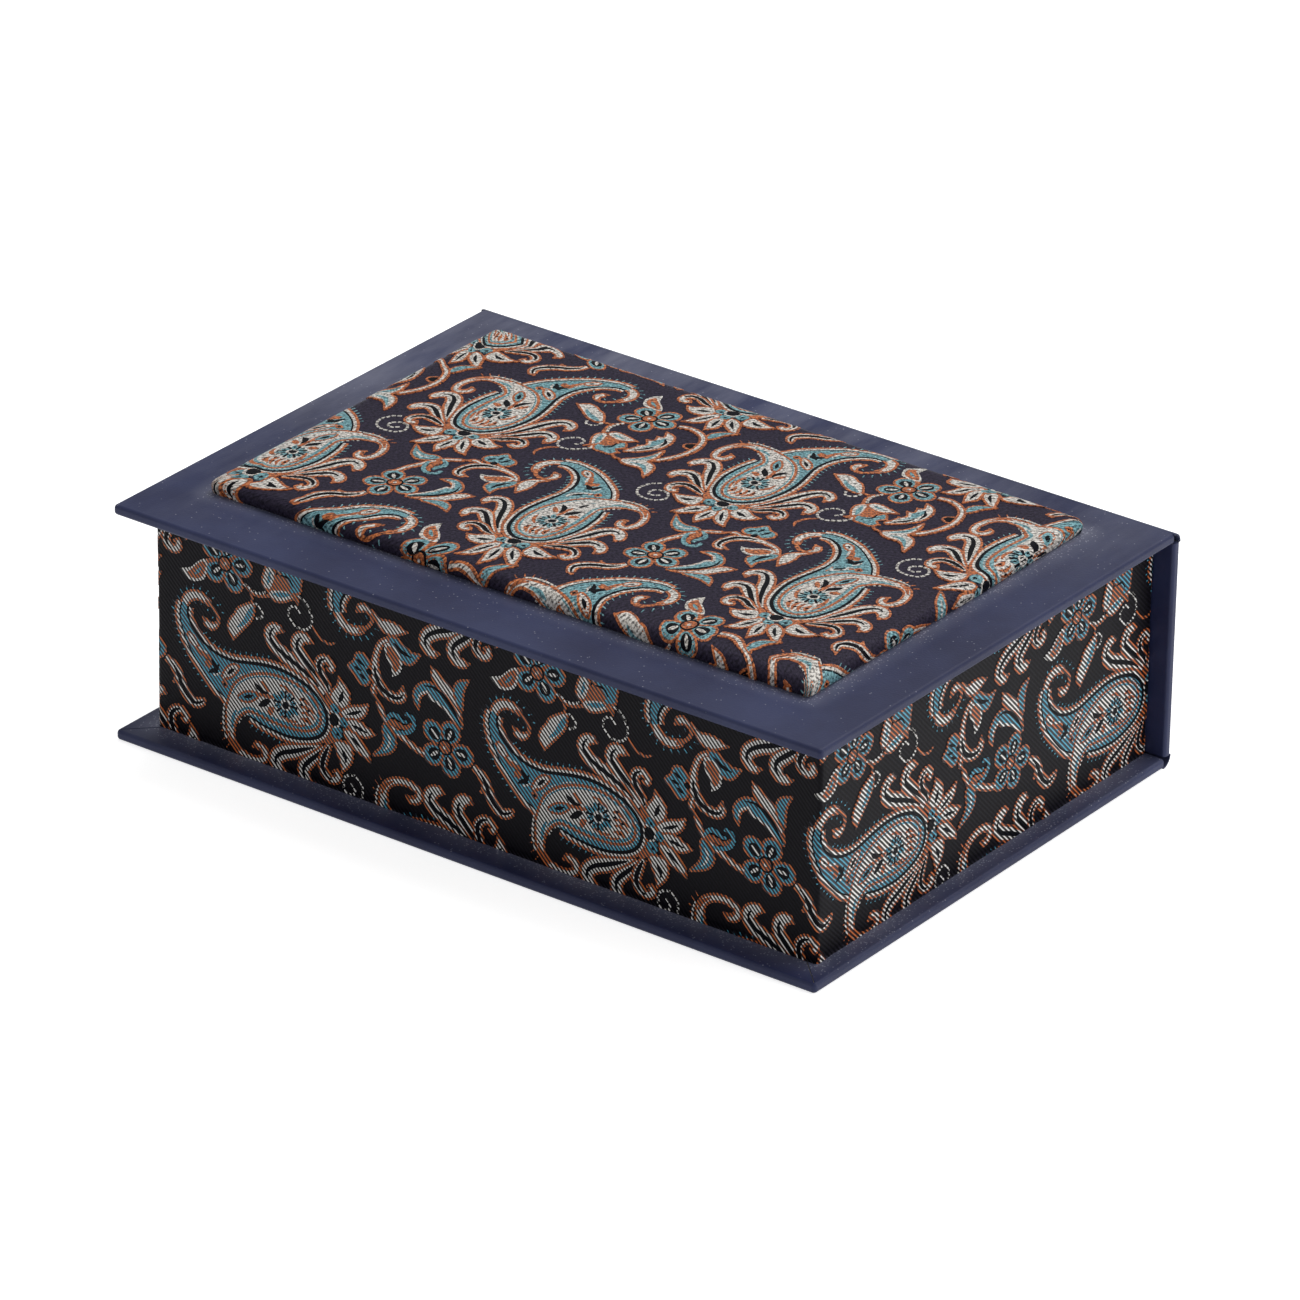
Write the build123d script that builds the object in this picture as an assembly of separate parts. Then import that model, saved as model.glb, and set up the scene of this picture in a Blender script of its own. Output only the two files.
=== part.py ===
# Book-style brocade box. A case of three covered boards closes round a cloth-wrapped tray.
# X runs along the box, -Y is the side that opens, +Y is the spine and +Z is up.
# The origin is the middle of the underside.
import math
import os

from build123d import *

# Case: bottom, spine and lid boards under one sheet of leatherette
case_length = 205.0
case_depth = 145.0
case_height = 62.0
board_thickness = 2.0
board_edge_radius = 0.6
board_corner_radius = 0.8
leatherette_thickness = 0.3
turn_in_width = 15.0
mitre_gap = 0.25
joint_play = 0.3

# Lid underside
lid_lining_thickness = 0.3
lid_lining_margin = 4.0
lid_rest_gap = 0.2

# Tray: greyboard walls and floor, wrapped in brocade
tray_end_overhang = 6.0
tray_front_overhang = 8.0
tray_side_shift = 0.6
wall_thickness = 2.0
floor_thickness = 2.0
brocade_thickness = 0.5
tray_corner_radius = 1.0
rim_edge_radius = 0.4
brocade_turn_in = 12.0
brocade_turn_under = 12.0

# Inside of the tray
lining_thickness = 0.4
lining_rim_setback = 4.0
lining_seam_gap = 0.3
floor_lining_thickness = 1.0
floor_lining_clearance = 0.3
stay_thickness = 0.2
stay_width = 10.0
stay_end_gap = 1.0

# Padded panel on the lid
panel_length = 174.0
panel_depth = 111.0
panel_front_margin = 19.0
panel_side_shift = -1.6
panel_height = 3.9
panel_crown = 0.6
panel_corner_radius = 3.0
panel_shoulder = 2.2
panel_tuck = 0.5
panel_crown_reach = 28.0
panel_card_thickness = 1.5
panel_card_clearance = 0.4
panel_card_corner_radius = 2.0
panel_turn_under = 12.0

# Counts of the padded panel's profile, the overrun of every cut, and the most that a rounding takes of a board
shoulder_steps = 5
crown_steps = 4
cut_overrun = 1.0
rounding_limit_share = 0.45

# Places that follow from the sizes above
covered_thickness = board_thickness + 2 * leatherette_thickness
edge_radius = min(board_edge_radius, board_thickness * rounding_limit_share)
joint_radius = covered_thickness + joint_play
front_y = -case_depth / 2
back_y = case_depth / 2
joint_y = back_y - joint_radius
spine_height = case_height - 2 * joint_radius
lid_underside = case_height - covered_thickness
rim_top = lid_underside - lid_lining_thickness - lid_rest_gap
wall_bottom = covered_thickness + brocade_thickness
wall_top = rim_top - brocade_thickness
floor_top = wall_bottom + floor_thickness
turn_in_bottom = rim_top - brocade_turn_in


def block(x_span, y_span, z_span):
    """A box between two limits along each axis."""
    size = [high - low for low, high in (x_span, y_span, z_span)]
    middle = [(low + high) / 2 for low, high in (x_span, y_span, z_span)]
    return Pos(*middle) * Box(*size)


def spread(middle, length):
    """The two limits of a length that lies evenly about a middle."""
    return middle - length / 2, middle + length / 2


def shrink(span, inset):
    """The same limits, drawn in by one inset at each end."""
    return span[0] + inset, span[1] - inset


def rounded_block(x_span, y_span, z_span, radius):
    """A box whose upright corners are rounded."""
    length, depth = x_span[1] - x_span[0], y_span[1] - y_span[0]
    outline = Pos(sum(x_span) / 2, sum(y_span) / 2, z_span[0]) * RectangleRounded(length, depth, radius)
    return extrude(outline, z_span[1] - z_span[0])


# Covered boards. Each lies flat with its outer face down, its joint edge at the far end of Y
def board_form(width, inset, free_edge):
    """A board drawn in by an inset, with soft edges at both ends and along a free edge."""
    x_span = shrink(spread(0, case_length), inset)
    y_span = (inset if free_edge else 0, width)
    z_span = shrink((0, covered_thickness), inset)
    form = block(x_span, y_span, z_span)
    round_by = leatherette_thickness - inset
    if free_edge:
        corners = form.edges().filter_by(Axis.Z).group_by(Axis.Y)[0]
        form = fillet(corners, board_corner_radius + round_by)
    soft = [edge for face in (form.faces().sort_by(Axis.Z)[0], form.faces().sort_by(Axis.Z)[-1])
            for edge in face.edges() if not on_joint_edge(edge, width, free_edge)]
    return fillet(soft, edge_radius + round_by)


def on_joint_edge(edge, width, free_edge):
    """Whether an edge lies along a joint, where the cover runs on and nothing is rounded."""
    box = edge.bounding_box()
    flat = box.max.Y - box.min.Y < leatherette_thickness / 2
    at_joint = abs(box.min.Y - width) < leatherette_thickness / 2
    at_start = not free_edge and abs(box.min.Y) < leatherette_thickness / 2
    return flat and (at_joint or at_start)


def greyboard(width, free_edge=True):
    """The bare board inside a cover."""
    return board_form(width, leatherette_thickness, free_edge)


def leatherette(width, free_edge=True):
    """The cover of a board: outer face, edges and the turn-ins on its inner face."""
    cover = board_form(width, 0, free_edge) - greyboard(width, free_edge)
    inner_face = (covered_thickness - leatherette_thickness, covered_thickness + cut_overrun)
    window_front = turn_in_width if free_edge else -cut_overrun
    window = block(shrink(spread(0, case_length), turn_in_width), (window_front, width + cut_overrun), inner_face)
    cover -= window
    if free_edge:
        for side in (-1, 1):
            cover -= mitre_cut(side, inner_face)
    return cover


def mitre_cut(side, z_span):
    """The fine diagonal seam where two turn-ins meet at a corner."""
    inset = edge_radius + leatherette_thickness
    run = (turn_in_width + cut_overrun - inset) * math.sqrt(2)
    seam = block((inset * math.sqrt(2), inset * math.sqrt(2) + run), spread(0, mitre_gap), z_span)
    seam = Rot(0, 0, 45 if side < 0 else 135) * seam
    return Pos(side * case_length / 2, 0, 0) * seam


def lay_bottom(shape):
    """Put a covered board under the tray, turn-ins up."""
    return Pos(0, front_y, 0) * shape


def lay_lid(shape):
    """Put a covered board on top, turn-ins down."""
    return Pos(0, front_y, case_height) * Rot(0, 180, 0) * shape


def stand_spine(shape):
    """Stand a covered board behind the tray, turn-ins towards it."""
    return Pos(0, back_y, joint_radius) * Rot(90, 0, 0) * shape


def joint_strip(outer_radius, thickness):
    """A quarter-round strip about a case joint, in a frame with the joint's centre at zero."""
    section = Plane.YZ * (Circle(outer_radius) - Circle(outer_radius - thickness))
    quarter = Plane.YZ * Pos(joint_radius / 2, joint_radius / 2) * Rectangle(joint_radius, joint_radius)
    return extrude(section & quarter, case_length / 2, both=True)


def lid_joint(shape):
    """Put a joint strip between the lid and the spine."""
    return Pos(0, joint_y, case_height - joint_radius) * shape


def bottom_joint(shape):
    """Put a joint strip between the bottom board and the spine."""
    return Pos(0, joint_y, joint_radius) * mirror(shape, Plane.XY)


def make_case():
    """The three boards, their cover and the strips at the joints."""
    lid_width = case_depth - joint_radius
    outer_strip = joint_strip(joint_radius, leatherette_thickness)
    inner_strip = joint_strip(joint_radius - leatherette_thickness, lid_lining_thickness)
    spine_skin = stand_spine(leatherette(spine_height, free_edge=False))
    sheet_x = shrink(spread(0, case_length), lid_lining_margin)
    sheet_y = (front_y + lid_lining_margin, joint_y)
    sheet_z = (lid_underside - lid_lining_thickness, lid_underside)
    return {
        "bottom_board": lay_bottom(greyboard(lid_width)),
        "bottom_cover": lay_bottom(leatherette(lid_width)),
        "spine_board": stand_spine(greyboard(spine_height, free_edge=False)),
        "spine_cover": spine_skin + bottom_joint(outer_strip),
        "lid_board": lay_lid(greyboard(lid_width)),
        "lid_cover": lay_lid(leatherette(lid_width)),
        "lid_hinge_cover": lid_joint(outer_strip),
        "hinge_lining": lid_joint(inner_strip),
        "lid_lining": block(sheet_x, sheet_y, sheet_z),
    }


# Tray. Its spans are taken over the cloth, over the boards, and between the boards
tray_x = spread(tray_side_shift, case_length - 2 * tray_end_overhang)
tray_y = (front_y + tray_front_overhang, back_y - covered_thickness)
outer_x, outer_y = shrink(tray_x, brocade_thickness), shrink(tray_y, brocade_thickness)
inner_x, inner_y = shrink(outer_x, wall_thickness), shrink(outer_y, wall_thickness)
lining_x, lining_y = shrink(inner_x, brocade_thickness), shrink(inner_y, brocade_thickness)
clear_x, clear_y = shrink(lining_x, lining_thickness), shrink(lining_y, lining_thickness)


def make_tray_boards():
    """The floor and the four walls."""
    wall_z = (wall_bottom, wall_top)
    return {
        "tray_floor": block(inner_x, inner_y, (wall_bottom, floor_top)),
        "tray_front_wall": block(outer_x, (outer_y[0], inner_y[0]), wall_z),
        "tray_back_wall": block(outer_x, (inner_y[1], outer_y[1]), wall_z),
        "tray_left_wall": block((outer_x[0], inner_x[0]), inner_y, wall_z),
        "tray_right_wall": block((inner_x[1], outer_x[1]), inner_y, wall_z),
    }


def make_tray_brocade():
    """Cloth round the walls, turned in over the rim and under the floor."""
    corner_radius = min(tray_corner_radius, 2 * brocade_thickness)
    wrap = rounded_block(tray_x, tray_y, (covered_thickness, rim_top), corner_radius)
    wrap = fillet(wrap.faces().sort_by(Axis.Z)[-1].edges(), rim_edge_radius)
    wrap -= block(outer_x, outer_y, (wall_bottom, turn_in_bottom))
    high_z = (turn_in_bottom, wall_top)
    wrap -= block(outer_x, outer_y, high_z) - block(inner_x, inner_y, high_z)
    wrap -= block(lining_x, lining_y, (turn_in_bottom, rim_top + cut_overrun))
    under_x, under_y = shrink(tray_x, brocade_turn_under), shrink(tray_y, brocade_turn_under)
    return wrap - block(under_x, under_y, (covered_thickness - cut_overrun, wall_bottom))


def make_corner_stays():
    """Folded paper tapes in the four corners, between the walls and the lining."""
    z_span = (floor_top, turn_in_bottom - stay_end_gap)
    band = block(inner_x, inner_y, z_span) - block(
        shrink(inner_x, stay_thickness), shrink(inner_y, stay_thickness), z_span)
    band -= block(shrink(inner_x, stay_width), inner_y, z_span)
    return band - block(inner_x, shrink(inner_y, stay_width), z_span)


def make_tray_linings():
    """The lining strip of the walls, with its butt seam at a back corner, and the covered floor card."""
    z_span = (floor_top, rim_top - lining_rim_setback)
    strip = block(lining_x, lining_y, z_span) - block(clear_x, clear_y, z_span)
    seam_x = (clear_x[0], clear_x[0] + lining_seam_gap)
    strip -= block(seam_x, (clear_y[1] - cut_overrun, lining_y[1] + cut_overrun), z_span)
    floor_x = shrink(clear_x, floor_lining_clearance)
    floor_y = shrink(clear_y, floor_lining_clearance)
    return {
        "tray_wall_lining": strip,
        "tray_floor_lining": block(floor_x, floor_y, (floor_top, floor_top + floor_lining_thickness)),
    }


# Padded panel, in a frame with its base on the lid and its middle at zero
def panel_profile():
    """The panel's side from its tucked base to its crown, as pairs of inset and height."""
    # The shoulder leaves the two thicknesses of cloth at the base of the side
    shoulder = min(panel_shoulder, panel_height - 2 * brocade_thickness)
    shoulder_low = panel_height - shoulder
    profile = [(panel_tuck, 0)]
    for step in range(shoulder_steps + 1):
        turn = math.pi / 2 * step / shoulder_steps
        inset = shoulder * (1 - math.cos(turn))
        profile.append((inset, shoulder_low + shoulder * math.sin(turn)))
    for step in range(1, crown_steps + 1):
        turn = math.pi / 2 * step / crown_steps
        inset = shoulder + panel_crown_reach * (1 - math.cos(turn))
        profile.append((inset, panel_height + panel_crown * math.sin(turn)))
    return profile


def pad_form(cover):
    """The cushion's form, drawn in by the thickness of what covers it."""
    sections = []
    for inset, height in panel_profile():
        drawn = inset + cover
        level = height - cover if height else 0
        outline = RectangleRounded(panel_length - 2 * drawn, panel_depth - 2 * drawn, panel_corner_radius)
        sections.append(Pos(0, 0, level) * outline)
    return loft(sections, ruled=True)


def place_panel(shape):
    """Put a panel piece on the lid."""
    middle_y = front_y + panel_front_margin + panel_depth / 2
    return Pos(panel_side_shift, middle_y, case_height) * shape


def make_panel():
    """Card, wadding and cloth of the padded panel."""
    card_inset = panel_tuck + brocade_thickness + panel_card_clearance
    card_x = shrink(spread(0, panel_length), card_inset)
    card_y = shrink(spread(0, panel_depth), card_inset)
    card_z = (brocade_thickness, brocade_thickness + panel_card_thickness)
    card = rounded_block(card_x, card_y, card_z, panel_card_corner_radius)
    filling = pad_form(brocade_thickness)
    below = block(spread(0, panel_length), spread(0, panel_depth), (-cut_overrun, brocade_thickness))
    filling -= below
    under_x = shrink(spread(0, panel_length), panel_turn_under)
    under_y = shrink(spread(0, panel_depth), panel_turn_under)
    window = block(under_x, under_y, (-cut_overrun, brocade_thickness))
    pieces = {
        "panel_card": card,
        "panel_wadding": filling - card,
        "panel_brocade": pad_form(0) - filling - window,
    }
    return {name: place_panel(piece) for name, piece in pieces.items()}


def main():
    """Build every piece and write one STEP file for each."""
    pieces = make_case() | make_tray_boards() | make_tray_linings() | make_panel()
    pieces["tray_brocade"] = make_tray_brocade()
    pieces["corner_stays"] = make_corner_stays()
    os.makedirs("parts", exist_ok=True)
    for name, piece in pieces.items():
        export_step(piece, f"parts/{name}.step")
    hinge_inset = joint_radius * (1 - math.sqrt(1 / 2))
    print("lid hinge axis at y", round(back_y - hinge_inset, 4), "z", round(case_height - hinge_inset, 4))
    print("clear inside of the tray", clear_x, clear_y, (floor_top + floor_lining_thickness, rim_top))


main()
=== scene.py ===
import sys

import logging
import math
from collections import defaultdict
from dataclasses import dataclass, field
from enum import Enum
from functools import partial
from typing import Callable, Iterable, Sequence

import bpy
from mathutils import Matrix, Vector, noise
from mathutils.geometry import tessellate_polygon


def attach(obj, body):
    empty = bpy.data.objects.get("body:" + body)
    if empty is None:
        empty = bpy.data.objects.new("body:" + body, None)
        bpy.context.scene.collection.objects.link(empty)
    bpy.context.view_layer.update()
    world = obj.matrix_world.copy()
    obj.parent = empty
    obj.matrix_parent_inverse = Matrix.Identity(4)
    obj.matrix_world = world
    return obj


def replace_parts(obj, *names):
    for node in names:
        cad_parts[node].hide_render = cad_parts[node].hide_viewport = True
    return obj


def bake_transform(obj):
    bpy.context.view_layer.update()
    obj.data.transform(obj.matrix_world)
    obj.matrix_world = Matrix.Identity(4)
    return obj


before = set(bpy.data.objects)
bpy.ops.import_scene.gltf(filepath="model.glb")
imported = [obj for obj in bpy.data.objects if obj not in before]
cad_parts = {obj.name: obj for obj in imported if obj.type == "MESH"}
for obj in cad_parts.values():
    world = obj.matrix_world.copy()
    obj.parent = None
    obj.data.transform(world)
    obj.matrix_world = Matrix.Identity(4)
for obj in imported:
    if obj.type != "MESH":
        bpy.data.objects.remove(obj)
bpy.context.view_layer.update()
LOG = logging.getLogger("keepsake_box")

MM = 0.001
UP = Vector((0.0, 0.0, 1.0))
Flat = tuple[float, float]
Stroke = tuple[float, float, float]
Polygon = tuple[Flat, ...]
Spot = tuple[Vector, Vector]
Socket = bpy.types.NodeSocket

# The case, in millimetres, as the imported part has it
CASE_HEIGHT = 62.0
BACK_Y, JOINT_Y = 72.5, 69.6
JOINT_RADIUS = 2.9

# The UV map that holds each point's place on its flat sheet, in millimetres
SHEET_MAP = "sheet_mm"

# Twill of the cloth, as the photograph shows it: ribs that fall at 45 degrees, 0.93 mm apart
RIB_ANGLE = math.radians(-45)
RIB_PITCH = 0.93
# A wave texture at this scale has one wave in each unit of length
ONE_WAVE = math.tau / 20


class Yarn(Enum):
    """The weft yarns of the figures."""

    ORANGE = "orange"
    SILVER = "silver"
    TEAL = "teal"
    INK = "ink"


ORANGE, SILVER, TEAL, INK = Yarn


# Finishes
def linear(colour: str) -> tuple[float, float, float, float]:
    """Turn an sRGB hex colour into Blender's linear one.

    Args:
        colour: Six hex digits after a hash.

    Returns:
        Red, green, blue and an alpha of one.
    """
    parts = (int(colour[i:i + 2], 16) / 255 for i in (1, 3, 5))
    return (*(p / 12.92 if p <= 0.04045 else ((p + 0.055) / 1.055) ** 2.4 for p in parts), 1.0)


def add_node(material: bpy.types.ID, kind: str, settings: dict | None = None) -> bpy.types.Node:
    """Add a shader node and set or join its inputs.

    Args:
        material: The material or world whose node tree grows.
        kind: Blender's name for the node, without "ShaderNode".
        settings: Inputs by name or number, each with its value or the socket that feeds it, and the node's own
            attributes by name.

    Returns:
        The new node.
    """
    tree = material.node_tree
    node = tree.nodes.new("ShaderNode" + kind)
    for name, value in (settings or {}).items():
        if not isinstance(name, int) and name not in node.inputs:
            setattr(node, name, value)
        elif isinstance(value, Socket):
            tree.links.new(value, node.inputs[name])
        else:
            node.inputs[name].default_value = value
    return node


def wire(material: bpy.types.ID, kind: str, settings: dict, output: int | str = 0) -> Socket:
    """Add a shader node and return one of its output sockets, its first unless another is named."""
    return add_node(material, kind, settings).outputs[output]


def calc(material: bpy.types.ID, operation: str, *values: Socket | float, clamp: bool = False) -> Socket:
    """Work out a value in the shader.

    Args:
        material: The material or world whose node tree grows.
        operation: Blender's name for the operation.
        *values: What it works on, in order: sockets or plain numbers.
        clamp: Whether the result is kept from 0 to 1.

    Returns:
        Socket of the result.
    """
    return wire(material, "Math", {"operation": operation, "use_clamp": clamp, **dict(enumerate(values))})


def blank_material(name: str) -> bpy.types.Material:
    """Make a material with an empty node tree.

    Args:
        name: The material's name.

    Returns:
        The new material.
    """
    material = bpy.data.materials.new(name)
    material.use_nodes = True
    material.node_tree.nodes.clear()
    return material


def finish_surface(material: bpy.types.Material, settings: dict) -> bpy.types.Material:
    """Close a material with its Principled shader.

    Args:
        material: The material to close.
        settings: The shader's inputs, each with its value or the socket that feeds it.

    Returns:
        The same material.
    """
    add_node(material, "OutputMaterial", {"Surface": wire(material, "BsdfPrincipled", settings)})
    return material


def bump(material: bpy.types.Material, height: Socket, strength: float, depth: float) -> Socket:
    """Turn a height into a bumped normal.

    Args:
        material: The material that the bump joins.
        height: The height, from 0 to 1.
        strength: How strongly it shows.
        depth: What a height of 1 stands for, in metres.

    Returns:
        Socket of the normal.
    """
    return wire(material, "Bump", {"Height": height, "Strength": strength, "Distance": depth})


def colour_ramp(material: bpy.types.Material, source: Socket, stops: Sequence[tuple[float, str]]) -> Socket:
    """Turn a value into a colour through stops.

    Args:
        material: The material that the ramp joins.
        source: The value.
        stops: Pairs of place and hex colour, in rising order.

    Returns:
        Socket of the colour.
    """
    ramp = add_node(material, "ValToRGB", {"Fac": source})
    elements = ramp.color_ramp.elements
    while len(elements) < len(stops):
        elements.new(0.5)
    for element, (place, colour) in zip(elements, stops):
        element.position, element.color = place, linear(colour)
    return ramp.outputs[0]


def sheet_place(material: bpy.types.Material) -> Socket:
    """Read each point's place on its flat sheet, in millimetres."""
    return wire(material, "UVMap", {"uv_map": SHEET_MAP})


def rib_height(material: bpy.types.Material, ribs: float, slub_share: float, wander: float) -> Socket:
    """Raise the cloth's ribs, uneven along their length.

    Args:
        material: The material that they join.
        ribs: How strongly the ribs stand out. Where they would be finer than one pixel they are drawn weaker and the
            yarn's unevenness stronger and finer, as the eye then sees them.
        slub_share: How strongly the yarn's unevenness stands out.
        wander: How far a rib wanders from its line.

    Returns:
        Socket of the height, about 0 in a gap and 1 on a rib.
    """
    turned = wire(material, "Mapping", {"Vector": sheet_place(material), "Rotation": (0, 0, -RIB_ANGLE),
                                        "Scale": (1 / RIB_PITCH,) * 3})
    wave = wire(material, "TexWave", {"Vector": turned, "bands_direction": "Y", "Scale": ONE_WAVE,
                                      "Distortion": wander, "Detail": 1.0, "Detail Scale": 0.7}, "Fac")
    slub = wire(material, "TexNoise", {"Vector": turned, "Scale": 0.9 if ribs > 0.5 else 1.3, "Detail": 4.0,
                                       "Roughness": 0.7})
    ribbed = calc(material, "MULTIPLY_ADD", wave, ribs, (1 - ribs - slub_share) / 2)
    return calc(material, "MULTIPLY_ADD", slub, slub_share, ribbed)


@dataclass(frozen=True)
class BrocadeGround:
    """Black warp satin of a jacquard brocade: a fine twill line and a dull silky shine."""

    name: str
    dark: str
    light: str
    ribs: float
    slub: float
    rib_depth: float

    def material(self) -> bpy.types.Material:
        """Build the material.

        Returns:
            The new material.
        """
        m = blank_material(self.name)
        height = rib_height(m, self.ribs, self.slub, wander=0.6)
        return finish_surface(m, {
            "Base Color": colour_ramp(m, height, ((0.3, self.dark), (0.8, self.light))),
            "Normal": bump(m, height, 0.9, self.rib_depth),
            "Sheen Weight": calc(m, "MULTIPLY_ADD", height, 0.42, -0.12, clamp=True),
            "Sheen Roughness": 0.3, "Sheen Tint": linear("#b3acc6"),
            "Roughness": 0.5, "IOR": 1.5, "Specular IOR Level": 0.08})


@dataclass(frozen=True)
class FloatYarn:
    """Silky weft floats that cross the ribs: short bright dashes on each rib with dark warp between them."""

    name: str
    light: str
    body: str
    gap: str
    ribs: float = 1.0
    slub: float = 0.5
    gap_share: float = 0.42
    shine: float = 0.3
    depth: float = 0.0001

    def material(self) -> bpy.types.Material:
        """Build the material.

        Returns:
            The new material.
        """
        m = blank_material(self.name)
        height = rib_height(m, self.ribs, self.slub, wander=0.4)
        stops = ((self.gap_share - 0.14, self.gap), (self.gap_share + 0.1, self.body),
                 (self.gap_share + 0.42, self.light))
        return finish_surface(m, {
            "Base Color": colour_ramp(m, height, stops), "Normal": bump(m, height, 0.8, self.depth),
            "Sheen Weight": 0.03, "Sheen Roughness": 0.35,
            "Roughness": 0.45, "IOR": 1.52, "Specular IOR Level": self.shine})


@dataclass(frozen=True)
class Foot:
    """Where something stands on a board, and how far from it dust gathers, all in millimetres."""

    middle: tuple[float, float, float]
    half: tuple[float, float, float]
    reach: float

    def nearness(self, m: bpy.types.Material, place: Socket) -> Socket:
        """Find how near a place on the board lies to the foot.

        Args:
            m: The material that the nodes join.
            place: The place, in metres.

        Returns:
            Socket of a value that is 1 at the foot and 0 beyond its reach.
        """
        off = wire(m, "VectorMath", {"operation": "SUBTRACT", 0: place, 1: Vector(self.middle) * MM})
        spread = wire(m, "VectorMath", {"operation": "ABSOLUTE", 0: off})
        beyond = wire(m, "VectorMath", {"operation": "SUBTRACT", 0: spread, 1: Vector(self.half) * MM})
        outside = wire(m, "VectorMath", {"operation": "MAXIMUM", 0: beyond, 1: (0, 0, 0)})
        far = wire(m, "VectorMath", {"operation": "LENGTH", 0: outside}, "Value")
        return wire(m, "MapRange", {"Value": far, "From Max": self.reach * MM, "To Min": 1.0, "To Max": 0.0})


@dataclass(frozen=True)
class Leatherette:
    """Polyurethane-coated book cloth, embossed with a fine grain: a soft satin navy that has gathered dust, with a
    painted sheen that grows towards the back left.
    """

    colour: str = "#1b2043"
    lighter: str = "#2e3559"
    # the dust's colour, which the painted sheen also takes
    dust: str = "#8e90a0"
    grain: float = 0.35
    grain_depth: float = 0.00004
    speck: float = 0.5
    gathering: float = 1.6
    # painted sheen: a lighter, greyer cast towards the back left, standing in for the gloss of a lamp behind the box
    painted_sheen_towards: tuple[float, float, float] = (-0.5, 0.86, 0.0)
    painted_sheen_span: Flat = (-30.0, 75.0)
    painted_sheen_strength: float = 0.5
    sheen_smudge_stretch: tuple[float, float, float] = (70.0, 16.0, 40.0)
    feet: tuple[Foot, ...] = (Foot((-1.6, 2.0, 62.25), (86.6, 55.0, 0.75), 6.5),
                              Foot((0.6, 2.7, 2.25), (96.6, 67.3, 0.75), 8.0))

    def specks(self, m: bpy.types.Material, place: Socket, gathered: Socket) -> Socket:
        """Scatter grains of dust, closer together where dust gathers.

        Args:
            m: The material that the nodes join.
            place: The place, in metres.
            gathered: How much dust has gathered there.

        Returns:
            Socket of how much of the place a grain covers.
        """
        cells = add_node(m, "TexVoronoi", {"Vector": place, "Scale": 1 / (self.speck * MM)})
        density = calc(m, "MULTIPLY_ADD", gathered, 0.85, 0.1)
        lies = calc(m, "LESS_THAN", cells.outputs["Color"], density)
        size = wire(m, "MapRange", {"Value": cells.outputs["Distance"], "From Min": 0.2, "From Max": 0.45,
                                    "To Min": 0.75, "To Max": 0.0})
        return calc(m, "MULTIPLY", lies, size)

    def painted_sheen_streaks(self, m: bpy.types.Material, place: Socket) -> Socket:
        """Paint a sheen, uneven in long smudges, that grows towards the board's back left corner: painted light that
        stands in for the gloss of a lamp behind the box.

        Args:
            m: The material that the nodes join.
            place: The place, in metres.

        Returns:
            Socket of the painted sheen.
        """
        along = wire(m, "VectorMath", {"operation": "DOT_PRODUCT", 0: place, 1: self.painted_sheen_towards}, "Value")
        amount = wire(m, "MapRange", {"Value": along, "From Min": self.painted_sheen_span[0] * MM, "From Max": self.painted_sheen_span[1] * MM,
                                      "To Min": 0.01, "To Max": self.painted_sheen_strength})
        drawn = wire(m, "Mapping", {"Vector": place, "Scale": self.sheen_smudge_stretch})
        smudge = wire(m, "TexNoise", {"Vector": drawn, "Scale": 1.0, "Detail": 5.0, "Roughness": 0.65})
        uneven = wire(m, "MapRange", {"Value": smudge, "From Min": 0.36, "From Max": 0.72})
        return calc(m, "MULTIPLY", amount, uneven)

    def dust_and_sheen_cover(self, m: bpy.types.Material, place: Socket, normal: Socket) -> Socket:
        """Find how much dust, and painted sheen, lies on a place: only on faces that look up.

        Args:
            m: The material that the nodes join.
            place: The place, in metres.
            normal: The way that it faces.

        Returns:
            Socket of the cover of dust and painted sheen, from 0 to 1.
        """
        near = calc(m, "POWER", calc(m, "MAXIMUM", *(foot.nearness(m, place) for foot in self.feet)), self.gathering)
        patchy = wire(m, "TexNoise", {"Vector": place, "Scale": 38.0, "Detail": 3.0})
        gathered = calc(m, "MULTIPLY", near, patchy)
        # dust gathered near the feet plus the painted sheen; the dust value below holds both, and the grains too
        dust_film_and_sheen = calc(m, "MULTIPLY_ADD", gathered, 0.6, self.painted_sheen_streaks(m, place), clamp=True)
        dust = calc(m, "ADD", self.specks(m, place, gathered), dust_film_and_sheen, clamp=True)
        upward = wire(m, "SeparateXYZ", {"Vector": normal}, "Z")
        return calc(m, "MULTIPLY", dust, wire(m, "MapRange", {"Value": upward, "From Min": 0.4, "From Max": 0.9}))

    def material(self) -> bpy.types.Material:
        """Build the material.

        Returns:
            The new material.
        """
        m = blank_material("leatherette")
        coordinates = add_node(m, "TexCoord")
        place, normal = coordinates.outputs["Object"], coordinates.outputs["Normal"]
        cloudy = wire(m, "TexNoise", {"Vector": place, "Scale": 22.0, "Detail": 5.0, "Roughness": 0.62})
        colour = colour_ramp(m, cloudy, ((0.36, self.colour), (0.66, self.lighter)))
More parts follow.
